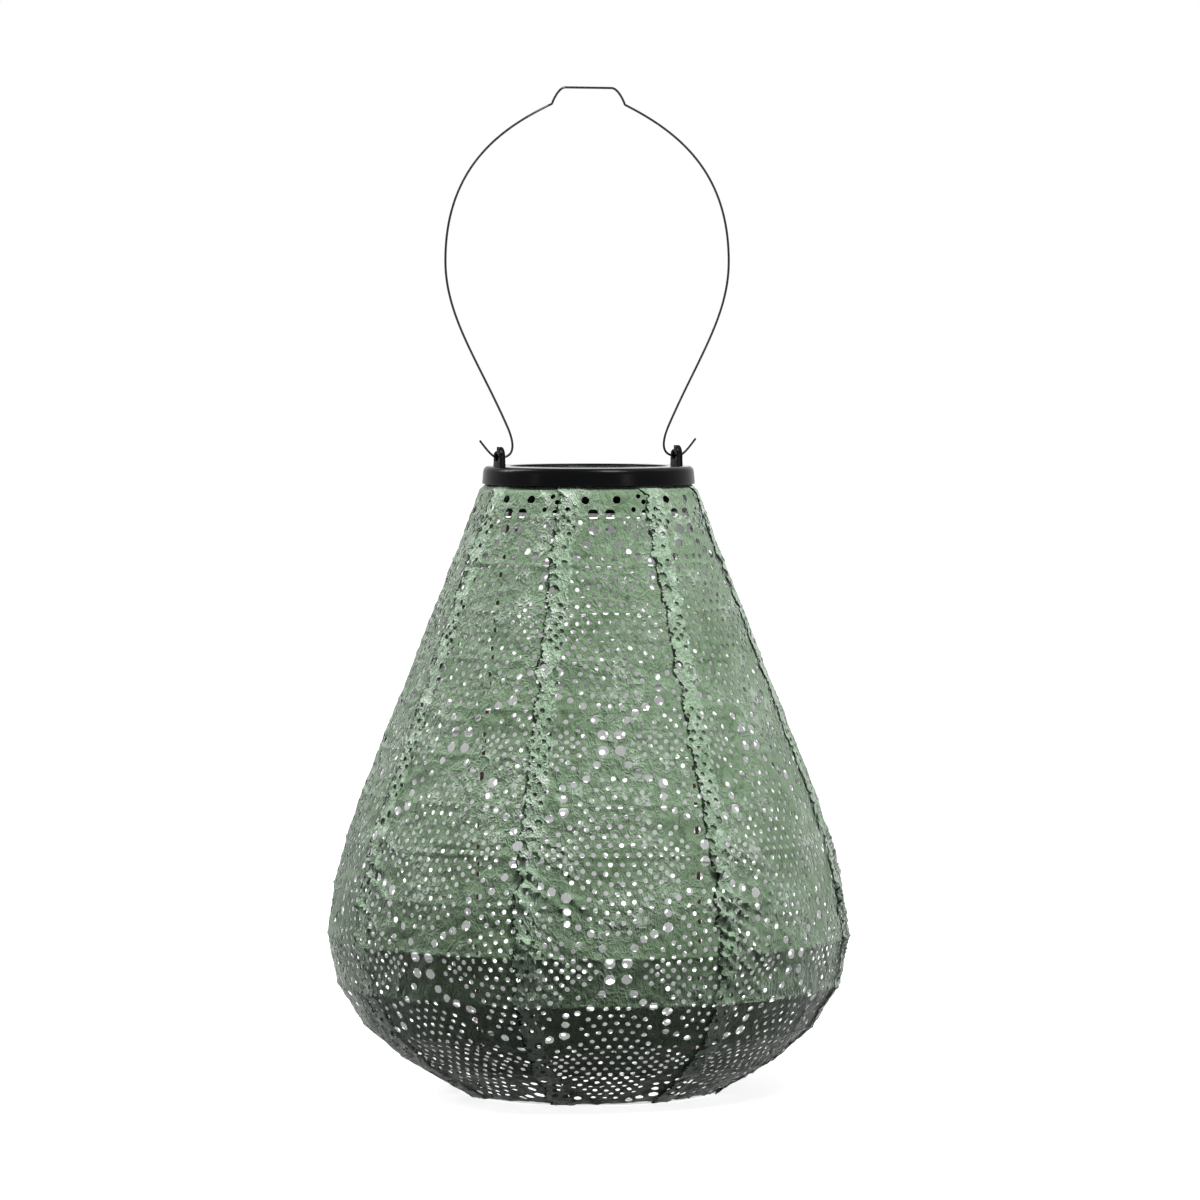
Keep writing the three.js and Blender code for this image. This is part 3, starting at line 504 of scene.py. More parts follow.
def punch(u, v, radius, margin):
    """Adds a hole, unless it lies too near one before it or too near the end of the cloth."""
    if holes:
        placed = np.array(holes)
        clear = np.hypot(placed[:, 0] - u, placed[:, 1] - v) - placed[:, 2] - radius
        if (clear - np.where(placed[:, 2] > smallest_chain_hole, margin, bridge)).min() < 0:
            return
    in_length = v_top + plain_hem + radius < v < v_bottom - plain_foot - radius
    in_width = -half_width(v) - radius < u < half_width(v) + seam_lap + radius
    if in_length and in_width:
        holes.append((float(u), float(v), float(radius)))


knots = []
for i in range(-1, 2):
    for j in range(-6, 4):
        if (i + j) % 2 == 0:
            knots.append((i * cell_width / 2, knot_row + j * cell_height / 2))
for pattern in (knot, chain):
    for middle_u, middle_v in knots:
        for du, dv, radius in pattern:
            for side, way in ((-1, -1), (1, -1), (-1, 1), (1, 1)):
                punch(middle_u + side * du, middle_v + way * dv, radius, bridge)
for middle_u, middle_v in knots:
    cell_v = middle_v + cell_height / 2
    for j in range(-12, 13):
        for i in range(-8, 9):
            du = (i + 0.5 * (j % 2)) * dot_pitch
            dv = j * row_pitch - min(max(j / bowed_rows, -1), 1) * du * du / row_bow
            if abs(du) / (cell_width / 2) + abs(dv) / (cell_height / 2) < cell_fill:
                jitter = noise.noise_vector((middle_u + du, middle_v + dv, 5))
                place = (middle_u + du + stray * jitter.x, cell_v + dv + stray * jitter.y)
                punch(*place, dot_hole + size_stray * jitter.z, clear_of_chain)
print(len(holes), "holes in a gore")

# %% [markdown]
# The flat gore becomes a mesh by a constrained Delaunay triangulation: the hole rims and the outline are
# given as edges that must be kept, and loose points between them let the cloth bend. First come those
# points. The raw left edge was cut by hand, so it wavers, and rows of points lie close on both sides of
# each crease, where the cloth bends most.

# %% Outline and points of a flat gore
grid = 2.0
outline_step = 1.2
crease_side = 1.3
rim_clear = 0.55
right_trim = 0.3
wave_height = 3.4
wave_length = 10
tooth_height = 1.0
tooth_length = 2.8

flat_points = []
flat_edges = []


def loop_of(points):
    """Adds a closed loop of points, and the edges between them that the triangles must keep."""
    first = len(flat_points)
    count = len(points)
    flat_points.extend(points)
    flat_edges.extend((first + i, first + (i + 1) % count) for i in range(count))


for u, v, radius in holes:
    sides = 14 if radius > 2 else 10
    turns = [2 * math.pi * (k + 0.5) / sides for k in range(sides)]
    loop_of([(u + radius * math.cos(t), v + radius * math.sin(t)) for t in turns])


def raw_edge(v):
    """The raw left edge: long waves of the shears, and short teeth on them."""
    wave = wave_height * noise.noise((0, v / wave_length, 3))
    tooth = tooth_height * noise.noise((7, v / tooth_length, 3))
    return -half_width(v) + wave + tooth


def across(i, v):
    """Outline points from the left edge to the right one, at the gore's top or at its bottom."""
    return [(u, v) for u in np.arange(left[i][0] + outline_step, right[i][0] - 1, outline_step)]


down = np.linspace(v_top, v_bottom, int((v_bottom - v_top) / outline_step))
left = [(raw_edge(v), v) for v in down]
right = [(half_width(v) + seam_lap - right_trim, v) for v in down]
loop_of(left + across(-1, v_bottom) + right[::-1] + across(0, v_top)[::-1])

hole_array = np.array(holes)
crease_rows = [c + side for c in crease_v for side in (-crease_side, 0, crease_side)]
plain_rows = []
for above, below in zip(crease_rows, crease_rows[1:] + [v_bottom]):
    count = max(int(round((below - above) / grid)), 1)
    plain_rows += [above + (below - above) * k / count for k in range(1, count)]
plain_rows += list(np.linspace(v_top, crease_rows[0], 9)[1:-1])
for n, v in enumerate(crease_rows + plain_rows):
    reach = half_width(v)
    for u in np.arange(-reach + grid * (0.5 + 0.5 * (n % 2)), reach + seam_lap - grid / 2, grid):
        clear = np.hypot(hole_array[:, 0] - u, hole_array[:, 1] - v) - hole_array[:, 2]
        if clear.min() > rim_clear:
            flat_points.append((u, v))
print(len(flat_points), "points and", len(flat_edges), "fixed edges")

# %% [markdown]
# Now the points are joined into triangles. The ones inside a hole or beyond the outline are dropped, and
# because the raw left edge runs through the dots, it comes out scalloped, as on the real seams. This is
# done once, and all eight gores use the same flat sheet.

# %% Triangles of a flat gore
inside_hole = 0.93

flat_vectors = [Vector(p) for p in flat_points]
flat = geometry.delaunay_2d_cdt(flat_vectors, flat_edges, [], 0, 1e-5)
sheet = np.array([tuple(p) for p in flat[0]])
triangles = np.array(flat[2])
centres = sheet[triangles].mean(axis=1)
keep = np.ones(len(triangles), bool)
for u, v, radius in holes:
    keep &= np.hypot(centres[:, 0] - u, centres[:, 1] - v) > radius * inside_hole
keep &= (centres[:, 1] > v_top) & (centres[:, 1] < v_bottom)
keep &= centres[:, 0] > np.interp(centres[:, 1], down, [p[0] for p in left])
keep &= centres[:, 0] < np.interp(centres[:, 1], down, [p[0] for p in right])
triangles = triangles[keep]
used = np.unique(triangles)
renumber = np.full(len(sheet), -1)
renumber[used] = np.arange(len(used))
sheet = sheet[used]
triangles = renumber[triangles]
print(len(sheet), "points and", len(triangles), "triangles in a flat gore")

# %% [markdown]
# The cloth's larger folds are shape and not bump, because they show on its outline. Where two cells of
# Voronoi noise meet, the cloth gets a sharp fold, as crushed paper has. Ridged noise gives it low crests
# everywhere. Long pleats leave each seam at the belly, where the gore is fullest, and run down across it.

# %% Folds
pleat_row = crease_v[8]
pleat_belt = 42
pleat_reach = 34
pleat_slant = 0.62
pleat_width = 9
pleat_length = 45


def fold(place, size, width):
    """A sharp fold where two cells of this size meet, 1 on its crest and 0 beyond its width."""
    near, far = noise.voronoi(place / size)[0][:2]
    return math.exp(-(((far - near) * size / width) ** 2))


def ridge(place, size):
    """Sharp crests of noise of this size, 1 at their highest and below 0 in the hollows."""
    return 1 - 4 * abs(noise.noise(place / size))


def pleat(gore, from_edge, v):
    """Long folds that leave the seam and run down across the belly, 1 on a crest and 0 between them."""
    belt = math.exp(-(((v - pleat_row) / pleat_belt) ** 2))
    near_seam = math.exp(-((from_edge / pleat_reach) ** 2))
    slanted = Vector(((v - pleat_slant * from_edge) / pleat_width, from_edge / pleat_length, 3.7 * gore))
    return belt * near_seam * max(ridge(slanted, 1), 0) ** 2


def smooth_step(x):
    """A soft step from 0 to 1 as x goes from 0 to 1."""
    x = min(max(x, 0.0), 1.0)
    return x * x * (3 - 2 * x)


print("pleats lie round row", round(pleat_row, 1), "mm below the lip")

# %% [markdown]
# A place on the flat gore is carried to the shade in two steps: onto the profile, at the turn that its u
# gives, and then outwards by all that lifts the cloth there. The left margin lies one layer further out,
# over the end of the gore before it, and curls up a little at the raw edge. The noise is read at the point's
# place on the shade, so two layers move together and never cut through each other. The cloth is pressed out
# over every hoop and sags between two of them, and the doubled strip along a seam is crumpled by the glue.

# %% From the flat gore to the shade
layer_step = 0.6
lap_ramp = 1.8
sag = 0.35
crease_rise = 0.4
crease_reach = 1.1
dip_place = 2.2
dip_share = 0.6
held_margin = 8
warp_size = 24
warp_reach = 7
buckle_height = 0.30
buckle_size = 15
fold_height = 0.6
fold_size = 11
fold_width = 1.4
crinkle_height = 0.09
crinkle_size = 3.2
pleat_height = 3.0
glue_height = 0.4
glue_size = 3.6
curl_height = 0.5
curl_reach = 1.5


def raised_crease(nearest):
    """How far the heat-set crease stands out at this distance from it, with a dip on each side."""
    crest = math.exp(-((nearest / crease_reach) ** 2))
    return crest - dip_share * math.exp(-(((nearest - dip_place) / crease_reach) ** 2))


def wrapped(centre_turn, u, v):
    """The outer point of the cloth, and its outward direction, for a place on the flat gore."""
    radius = np.interp(v, row_v, row_r)
    height = np.interp(v, row_v, row_z)
    lean = Vector((np.interp(v, row_v, row_nr), np.interp(v, row_v, row_nz))).normalized()
    turn = centre_turn + u / radius
    out = Vector((lean.x * math.cos(turn), lean.x * math.sin(turn), lean.y))
    place = Vector((radius * math.cos(turn), radius * math.sin(turn), height))
    from_edge = u + half_width(v)
    upper = 1 - smooth_step((from_edge - seam_lap) / lap_ramp)
    nearest = np.abs(crease_v - v).min()
    free = smooth_step((v + 2) / held_margin)
    loose = smooth_step(nearest / 6)
    lift = upper * layer_step
    band = np.searchsorted(crease_v, v)
    if 0 < band < len(crease_v):
        t = (v - crease_v[band - 1]) / (crease_v[band] - crease_v[band - 1])
        lift -= sag * math.sin(math.pi * t) ** 2
    lift += crease_rise * raised_crease(nearest) * (0.8 + 0.5 * noise.noise(place / 12))
    warped = place + warp_reach * noise.noise_vector(place / warp_size)
    lift += free * loose * buckle_height * ridge(warped, buckle_size)
    rumpled = 0.5 + noise.noise(place / 35 + Vector((9, 2, 4)))
    lift += free * (0.3 + 0.7 * loose) * fold_height * rumpled * fold(warped, fold_size, fold_width)
    lift += free * crinkle_height * ridge(place + 2 * noise.noise_vector(place / 6), crinkle_size)
    lift += pleat_height * pleat(centre_turn, from_edge, v)
    strip = free * upper
    if strip > 0:
        crumpled = 0.5 + 0.5 * ridge(place + 2 * noise.noise_vector(place / 5), glue_size)
        lift += strip * glue_height * max(crumpled, 0) * smooth_step(from_edge / 2)
        curl = math.exp(-max(from_edge, 0) / curl_reach)
        lift += strip * curl_height * curl * (1 + noise.noise(place / 6))
    return place + out * lift, out


print("belly point", [round(c, 1) for c in wrapped(0.0, 0.0, float(pleat_row))[0]])

# %% [markdown]
# A gore is the outer sheet, the same sheet one thickness further in, and a rim of faces that closes every
# hole and edge between them. Its faces take four finishes: the coated face, the glued strip along the seam,
# which is painted paler as highlight, the frayed raw edge with the cut rims, near-black partly for bare
# threads and partly as painted shadow in the gap under the edge and on the hole walls, and the uncoated
# back. The rims stay flat-shaded, which keeps the holes crisp.

# %% Eight gores
crease_angle = math.radians(50)
glue_wave = 0.6
fray_least = 0.8
fray_more = 1.4
face_slot, back_slot, edge_slot, seam_slot = range(4)

middles = sheet[triangles].mean(axis=1)
# The seam strip, whose finish is painted paler as highlight.
glued = middles[:, 0] + half_width(middles[:, 1]) < seam_lap + glue_wave * np.sin(middles[:, 1] / 3)
fray_width = np.array([fray_least + fray_more * noise.noise((3, v / 5, 1)) for v in middles[:, 1]])
# Faces near the raw edge: frayed threads, and painted shadow in the gap under the edge.
frayed_and_shaded = middles[:, 0] - np.interp(middles[:, 1], down, [p[0] for p in left]) < fray_width
finish_of = np.where(frayed_and_shaded, edge_slot, np.where(glued, seam_slot, face_slot))


def gore_mesh(name, centre_turn):
    """One gore's mesh, bent round the shade with its middle at this turn."""
    outer = []
    inner = []
    for u, v in sheet:
        place, out = wrapped(centre_turn, u, v)
        outer.append(place)
        inner.append(place - out * cloth_thickness)
    count = len(outer)
    edges = np.concatenate([triangles[:, [0, 1]], triangles[:, [1, 2]], triangles[:, [2, 0]]])
    known = set(map(tuple, edges))
    rim = [(a, b) for a, b in edges if (b, a) not in known]
    faces = [tuple(t) for t in triangles]
    faces += [(c + count, b + count, a + count) for a, b, c in triangles]
    faces += [(b, a, a + count, b + count) for a, b in rim]
    mesh = bpy.data.meshes.new(name)
    mesh.from_pydata([p * MM for p in outer + inner], [], faces)
    for material in (coated_face, uncoated_back, cut_edge_and_shade, glued_seam):
        mesh.materials.append(material)
    slots = list(finish_of) + [back_slot] * len(triangles) + [edge_slot] * len(rim)
    mesh.polygons.foreach_set("material_index", slots)
    rim_start = 2 * len(triangles)
    mesh.polygons.foreach_set("use_smooth", [k < rim_start for k in range(len(slots))])
    mesh.set_sharp_from_angle(angle=crease_angle)
    return mesh


for k in range(gores):
    turn = math.radians(first_seam + (k + 0.5) * 360 / gores)
    mesh = gore_mesh(f"gore_{k + 1}", turn)
    gore = bpy.data.objects.new(mesh.name, mesh)
    scene.collection.objects.link(gore)
    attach(gore, "lantern_frame")
    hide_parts(f"shade_panel_{k + 1}")
print("eight gores of", len(mesh.polygons), "faces")

# %% [markdown]
# Collar and light unit are injection-moulded ABS, coloured black in the melt. It comes from a spark-eroded
# mould, so it is satin, with a grain of about 0.1 mm that is drawn at 0.5 mm. The faces that look up are
# polished. The other plastics and the rubber come from the same recipe with their own colours: milky
# polypropylene for the diffuser, polyvinyl chloride for the battery's shrink sleeve, and soft silicone.

# %% Moulded plastics
spark_grain = 0.5
cloud_size = 12


def moulded(name, light, dark, smooth, rough, grain, values=None):
    """A moulding, a little cloudy in its colour and its gloss, with the mould's grain as bump."""
    material, tree = blank_material(name)
    where = add(tree, "TexCoord").outputs["Object"]
    clouds = {"Vector": where, "Scale": 1 / (cloud_size * MM), "Detail": 2.0}
    clouds = add(tree, "TexNoise", clouds).outputs["Fac"]
    colour = add(tree, "Mix", {0: clouds, 6: linear(light), 7: linear(dark)}, data_type="RGBA").outputs[2]
    gloss = add(tree, "MapRange", {"Value": clouds, "To Min": smooth, "To Max": rough}).outputs[0]
    speckle = {"Vector": where, "Scale": 1 / (spark_grain * MM), "Detail": 1.0}
    speckle = add(tree, "TexNoise", speckle).outputs["Fac"]
    raised = add(tree, "Bump", {"Height": speckle, "Strength": 1.0, "Distance": grain * MM}).outputs[0]
    body = {"Base Color": colour, "Roughness": gloss, "Normal": raised, **(values or {})}
    plastic = add(tree, "BsdfPrincipled", body)
    add(tree, "OutputMaterial", {"Surface": plastic.outputs[0]})
    return material


weak_gloss = {"Specular IOR Level": 0.06}
milky = {"Subsurface Weight": 0.3, "Subsurface Scale": 3 * MM, "Transmission Weight": 0.15}
black_abs = moulded("moulded_black_abs", "#050608", "#030304", 0.2, 0.28, 0.006, weak_gloss)
polished_abs = moulded("polished_black_abs", "#08090B", "#040506", 0.06, 0.12, 0.0005)
milky_polypropylene = moulded("milky_polypropylene", "#F4F1E9", "#EBE7DC", 0.35, 0.5, 0.006, milky)
shrink_sleeve = moulded("green_pvc_sleeve", "#35704A", "#2B5F3E", 0.25, 0.35, 0.004)
silicone_rubber = moulded("black_silicone_rubber", "#1C1C1D", "#131314", 0.6, 0.8, 0.01)
print([m.name for m in bpy.data.materials])

# %% [markdown]
# The wires are three steels. The bail is stainless spring wire, drawn smooth. Its colour is painted far
# darker than bright steel's, standing in for dark reflections, so that against a white ground it reads as a
# thin dark line. The hoops are galvanised wire, nearly white where they show through the holes, and the
# spreader rods are oil-hardened spring steel, brown from the heat of the bath. Screws and battery contacts
# are zinc plated. All of them are a little patchy.

# %% Wire steels
patch_size = 4


def drawn_steel(name, bright, dull, roughness):
    """Bare or plated steel, with duller and rougher patches from its handling."""
    material, tree = blank_material(name)
    where = add(tree, "TexCoord").outputs["Object"]
    patches = {"Vector": where, "Scale": 1 / (patch_size * MM), "Detail": 4.0}
    patches = add(tree, "TexNoise", patches).outputs["Fac"]
    colour = add(tree, "Mix", {0: patches, 6: linear(bright), 7: linear(dull)}, data_type="RGBA").outputs[2]
    gloss = {"Value": patches, "To Min": roughness * 0.8, "To Max": roughness * 1.3}
    gloss = add(tree, "MapRange", gloss).outputs[0]
    steel = add(tree, "BsdfPrincipled", {"Base Color": colour, "Metallic": 1.0, "Roughness": gloss})
    add(tree, "OutputMaterial", {"Surface": steel.outputs[0]})
    return material


# Painted reflection: the bail's steel is coloured dark.
stainless_wire = drawn_steel("drawn_stainless_wire", "#33312F", "#2A2826", 0.15)
galvanised_wire = drawn_steel("galvanised_wire", "#E4E5E4", "#C9CBCB", 0.35)
hardened_wire = drawn_steel("oil_hardened_spring_wire", "#5B493D", "#453830", 0.35)
zinc_plate = drawn_steel("zinc_plated_steel", "#B9BCBE", "#A3A7AB", 0.3)
print("steels", [m.name for m in (stainless_wire, galvanised_wire, hardened_wire, zinc_plate)])

# %% [markdown]
# The collar is turned from its section: an outer lip with a rounded top edge, a groove behind it that
# takes the cloth's hem, a skirt, and a ledge that carries the light unit. Rounded corners matter more
# than anything else here, because a moulding shows its shape by the light along its edges.

# %% Collar
frame_plastic = (black_abs, "lantern_frame", "black_plastic")
unit_high = box_mm("unit_housing")[1]
seat_bore = unit_high.x + 0.3
ledge = collar_top - 4.4
ledge_under = ledge - 2.2
ledge_bore = seat_bore - 3.3
roof_under = collar_top - 2.5
skirt_foot = collar_low.z
skirt_outer = lip_radius - 7.2
skirt_inner = lip_radius - 9


def polish_top(piece, above):
    """Gives the faces that look up, from this height in millimetres, the polished finish."""
    piece.data.materials.append(polished_abs)
    for polygon in piece.data.polygons:
        if polygon.normal.z > 0.97 and polygon.center.z > above * MM:
            polygon.material_index = 1


collar_section = [
    (lip_radius, lip_height, 0.5),
    (lip_radius - 0.8, collar_top, 3.2),
    (seat_bore, collar_top, 0.6),
    (seat_bore, ledge, 0.2),
    (ledge_bore, ledge, 0.4),
    (ledge_bore, ledge_under, 0.3),
    (skirt_inner, ledge_under, 0.4),
    (skirt_inner, skirt_foot, 0.4),
    (skirt_outer, skirt_foot, 0.4),
    (skirt_outer, roof_under, 0.4),
    (lip_radius - 2.2, roof_under, 0.4),
    (lip_radius - 1.4, lip_height, 0.5),
]
collar = mesh_piece("collar_moulding", *turned(eased(collar_section), 256), *frame_plastic, ["top_collar"])
polish_top(collar, collar_top - 1)
print("collar", round(collar_top, 1), "mm high, lip radius", round(lip_radius, 1))

# %% [markdown]
# Each eyelet is a split plate: a tall prong arches over the wire and a short one stands behind it, with a
# gap between them that the wire snaps through. A filled two-dimensional curve gives such a plate in a few
# lines, with its thickness as the extrusion and its moulded edges as the curve's bevel.

# %% Eyelets
eyelet_reach = 49.8
plate_thickness = 3.0
plate_easing = 0.45
plate_half = 4.6
bore_radius = 1.9
arch = 5.6
pivot_height = eyelet_height - arch
gap_start = 0.5
gap_end = 1.9
foot_flare = 0.5
foot_sink = 1.2


def arc(x, y, radius_x, radius_y, start, end, steps=14):
    """Points on a part of an ellipse."""
    turns = [start + (end - start) * k / steps for k in range(steps + 1)]
    return [(x + radius_x * math.cos(t), y + radius_y * math.sin(t)) for t in turns]


def eyelet_outline():
    """From the foot's left side over the tall prong, round the bore, and down the short prong."""
    flare = plate_half + foot_flare
    outline = [(-flare, -foot_sink), (-plate_half - 0.3, 0.4), (-plate_half, pivot_height / 2)]
    outline += arc(0, pivot_height, plate_half, arch, math.pi, math.acos(gap_start / plate_half))
    bore_start = math.acos(gap_start / bore_radius)
    outline += arc(0, pivot_height, bore_radius, bore_radius, bore_start, 2 * math.pi, 20)
    outline += [(gap_end, pivot_height + 3.4), (plate_half - 0.5, pivot_height + 2.4)]
    outline += [(plate_half, pivot_height), (plate_half, pivot_height / 2)]
    outline += [(plate_half + 0.3, 0.4), (flare, -foot_sink)]
    return outline


def mesh_of(curve):
    """The points, in the curve's own units, and the faces of a curve with a thickness or a bevel."""
    drawn = bpy.data.objects.new(curve.name, curve)
    scene.collection.objects.link(drawn)
    bpy.context.view_layer.update()
    evaluated = drawn.evaluated_get(bpy.context.evaluated_depsgraph_get())
    mesh = bpy.data.meshes.new_from_object(evaluated)
    bpy.data.objects.remove(drawn)
    return [v.co.copy() for v in mesh.vertices], [tuple(p.vertices) for p in mesh.polygons]


def plate(name, outline, thickness, easing):
    """Points and faces of a flat plate with eased edges, lying in the XY plane, in millimetres."""
    curve = bpy.data.curves.new(name, "CURVE")
    curve.dimensions = "2D"
    curve.fill_mode = "BOTH"
    spline = curve.splines.new("POLY")
    spline.points.add(len(outline) - 1)
    for point, (x, y) in zip(spline.points, outline):
        point.co = (x, y, 0, 1)
    spline.use_cyclic_u = True
    curve.extrude = thickness / 2 - easing
    curve.bevel_depth = easing
    curve.bevel_resolution = 3
    curve.offset = -easing
    return mesh_of(curve)


for side, name in ((-1, "eyelet_left"), (1, "eyelet_right")):
    lying, faces = plate(name, eyelet_outline(), plate_thickness, plate_easing)
    stand = Matrix(((0, 0, 1, side * eyelet_reach), (1, 0, 0, 0), (0, 1, 0, collar_top), (0, 0, 0, 1)))
    mesh_piece(name, [stand @ p for p in lying], faces, *frame_plastic)
print("two eyelets of", len(faces), "faces, pivots", round(collar_top + pivot_height, 1), "mm high")

# %% [markdown]
# Hoops and base ring are closed rings of round wire, so each is a small circle turned about the lantern's
# axis. The frame's base ring has eight sides, so its box too stops short of the round wire.

# %% Hoops and base ring
frame_wire = (galvanised_wire, "lantern_frame", "hoop_wire")
base_wire = 3.2
base_radius = ring_high.x - base_wire / 2 * math.cos(math.pi / 8)


def ring_section(radius, height, diameter, sides=12):
    """A wire's round section, at this radius and height."""
    last = 2 * math.pi * (sides - 1) / sides
    return arc(radius, height, diameter / 2, diameter / 2, 0, last, sides - 1)


for name, (radius, height) in zip(hoop_names, hoops):
    section = ring_section(radius, height, hoop_wire)
    mesh_piece(name + "_wire", *turned(section), *frame_wire, [name])
section = ring_section(base_radius, base_wire / 2, base_wire, 20)
mesh_piece("base_ring_wire", *turned(section), *frame_wire, ["base_ring"])
print(len(hoops), "hoops, and a base ring of radius", round(base_radius, 1))

# %% [markdown]
# Two sprung rods push collar and base ring apart, which stretches the cloth. Each is a smooth Bezier curve
# with a round bevel through a few places: the socket in the collar's skirt, a slight bow along the cloth,
# and a foot that turns out over the base ring. The sockets are thin tubes, half sunk into the skirt's wall.

# %% Spreader rods
spreader_wire = 2.0
socket_play = 0.3
socket_wall = 1.4
socket_bore = spreader_wire / 2 + socket_play
socket_outer = socket_bore + socket_wall
socket_x = skirt_inner - socket_bore - socket_wall / 2
socket_foot = ledge - 10.2
socket_head = ledge - 2
foot_height = ring_high.z + 0.3 + spreader_wire / 2
foot_x = base_radius - base_wire / 2 - 2.5


def bent_rod(name, route, diameter):
    """Points, in millimetres, and faces of a round rod bent smoothly through (x, z) places."""
    curve = bpy.data.curves.new(name, "CURVE")
    curve.dimensions = "3D"
    curve.bevel_depth = diameter / 2 * MM
    curve.bevel_resolution = 4
    curve.use_fill_caps = True
    spline = curve.splines.new("BEZIER")
    spline.bezier_points.add(len(route) - 1)
    for point, (x, z) in zip(spline.bezier_points, route):
        point.co = (x * MM, 0, z * MM)
        point.handle_left_type = "AUTO"
        point.handle_right_type = "AUTO"
    points, faces = mesh_of(curve)
    return [p / MM for p in points], faces


spreader_route = [
    (socket_x, ledge - 2.5),
    (socket_x, skirt_foot),
    (socket_x + 2, 287),
    (52.5, 240),
    (63, 85),
    (foot_x, foot_height + 5),
    (foot_x + 1.2, foot_height + 1.2),
    (foot_x + 2.5, foot_height),
    (base_radius + 2, foot_height),
]
socket_section = [
    (socket_bore, socket_foot, 0.2),
    (socket_outer, socket_foot, 0.3),
    (socket_outer, socket_head, 0),
    (socket_bore, socket_head, 0),
]
for side, name in ((-1, "left"), (1, "right")):
    route = [(side * x, z) for x, z in spreader_route]
    points, faces = bent_rod(f"spreader_rod_{name}", route, spreader_wire)
    rod_finish = (hardened_wire, "lantern_frame", "spreader_wire")
    mesh_piece(f"spreader_rod_{name}", points, faces, *rod_finish, [f"spreader_leg_{name}"])
    points, faces = turned(eased(socket_section), 32)
    points = [(x + side * socket_x, y, z) for x, y, z in points]
    mesh_piece(f"spreader_socket_{name}", points, faces, *frame_plastic)
print("spreader rods from", round(socket_x, 1), "out to", round(base_radius + 2, 1), "mm")

# %% [markdown]
# The bail is one length of sprung wire. Half of it is a straight and five curves in one plane: the flat
# saddle that hangs on a hook, its bent shoulder, the long bow in two curves, and the hook through the eyelet
# in two. The other half is its mirror image. Each curve has a place where it starts, two handles that pull
# it, and a place where it ends, and the handles are matched to the photograph. A circle is swept along the
# whole one ring at a time, because the wire's ends are cut square and lightly chamfered.

# %% Bail
bail_wire = 1.2
bail_high = box_mm("bail")[1]
bow = bail_high.x - bail_wire / 2
rise = bail_high.z - collar_top - pivot_height - bail_wire / 2
widest_rise = 100.4
leg_lean = math.radians(25.5)
saddle_half = 13
kink_x = 20.5
kink_drop = 8.5


def bezier(start, first, second, end, steps=40):
    """Points on a curve from start to end, pulled by two handles."""
    places = [Vector((*p, 0)) for p in (start, first, second, end)]
    return [p.xy for p in geometry.interpolate_bezier(*places, steps)]


def bail_half():
    """Points of the right half, from the saddle's middle to the hook's tip, measured from the bores."""
    down_leg = Vector((-math.sin(leg_lean), -math.cos(leg_lean)))
    saddle_end = (saddle_half, rise)
    kink = (kink_x, rise - kink_drop)
    widest = (bow, widest_rise)
    leg_end = Vector((eyelet_reach - 4.3, 16))
    bore = (eyelet_reach, 0)
    tip = (eyelet_reach + 10.8, 8.7)
    half = [Vector((x, rise)) for x in (0, 6, saddle_half)]
    half += bezier(saddle_end, (15.5, rise), (18.5, rise - 3.5), kink, 16)[1:]
    half += bezier(kink, (kink_x + 31.3, kink[1] - 14), (bow, widest_rise + 45.7), widest)[1:]
    half += bezier(widest, (bow, widest_rise - 28.1), leg_end - down_leg * 37.7, leg_end)[1:]
    half += bezier(leg_end, leg_end + down_leg * 9, (eyelet_reach - 9.5, 0), bore, 30)[1:]
    half += bezier(bore, (eyelet_reach + 3.7, 0), (eyelet_reach + 5.7, 2.6), tip, 20)[1:]
    return half


right_half = bail_half()
whole = [Vector((-p.x, p.y)) for p in right_half[:0:-1]] + right_half
whole = [(p.x, p.y + collar_top + pivot_height) for p in whole]
mesh_piece("bail_spring_wire", *wire(whole, bail_wire), stainless_wire, "bail", "bail_wire", ["bail"])
print("bail", len(whole), "points along the wire")

# %% [markdown]
# The light unit drops into the collar and hangs by its flange. Its shell is one moulding: the flange, a
# rebate for the clear cover, a square pocket under that for the solar cell, and a wall that the lower
# housing closes. All that is round is turned from its section. The pocket's frame is a ring whose inner
# edge follows a square.

# %% The light unit's shell
unit_plastic = (black_abs, "light_unit", "black_plastic")
unit_top = collar_top - 0.9
flange_under = collar_top - 4.1
rebate = unit_top - 1.8
pocket = rebate - 1.9
shell_under = pocket - 1.8
shoulder = pocket - 3.9
plate_top = collar_top - 20.7
wall_foot = plate_top + 1.4
cover_radius = 33.2
rebate_radius = cover_radius + 0.3
wall_outer = 36.4
wall_inner = 34.6
floor_radius = 33.0
cell_half = 23.0

shell_section = [
    (rebate_radius, unit_top, 0.3),
    (unit_high.x, unit_top, 0.6),
    (unit_high.x, flange_under, 0.3),
    (wall_outer, flange_under, 0.4),
    (wall_outer, wall_foot, 0.2),
    (wall_inner, wall_foot, 0.2),
    (wall_inner, shoulder, 0.2),
    (floor_radius, shoulder, 0.2),
    (floor_radius, shell_under, 0),
    (floor_radius - 0.1, shell_under, 0),
    (floor_radius - 0.1, rebate, 0),
    (rebate_radius, rebate, 0.2),
]
shell = mesh_piece("unit_shell", *turned(eased(shell_section), 192), *unit_plastic, ["unit_housing"])
polish_top(shell, unit_top - 0.5)

floor_section = [(0.4, shell_under), (floor_radius, shell_under), (floor_radius, pocket), (0.4, pocket)]
mesh_piece("unit_shell_floor", *turned(floor_section, 96), *unit_plastic)


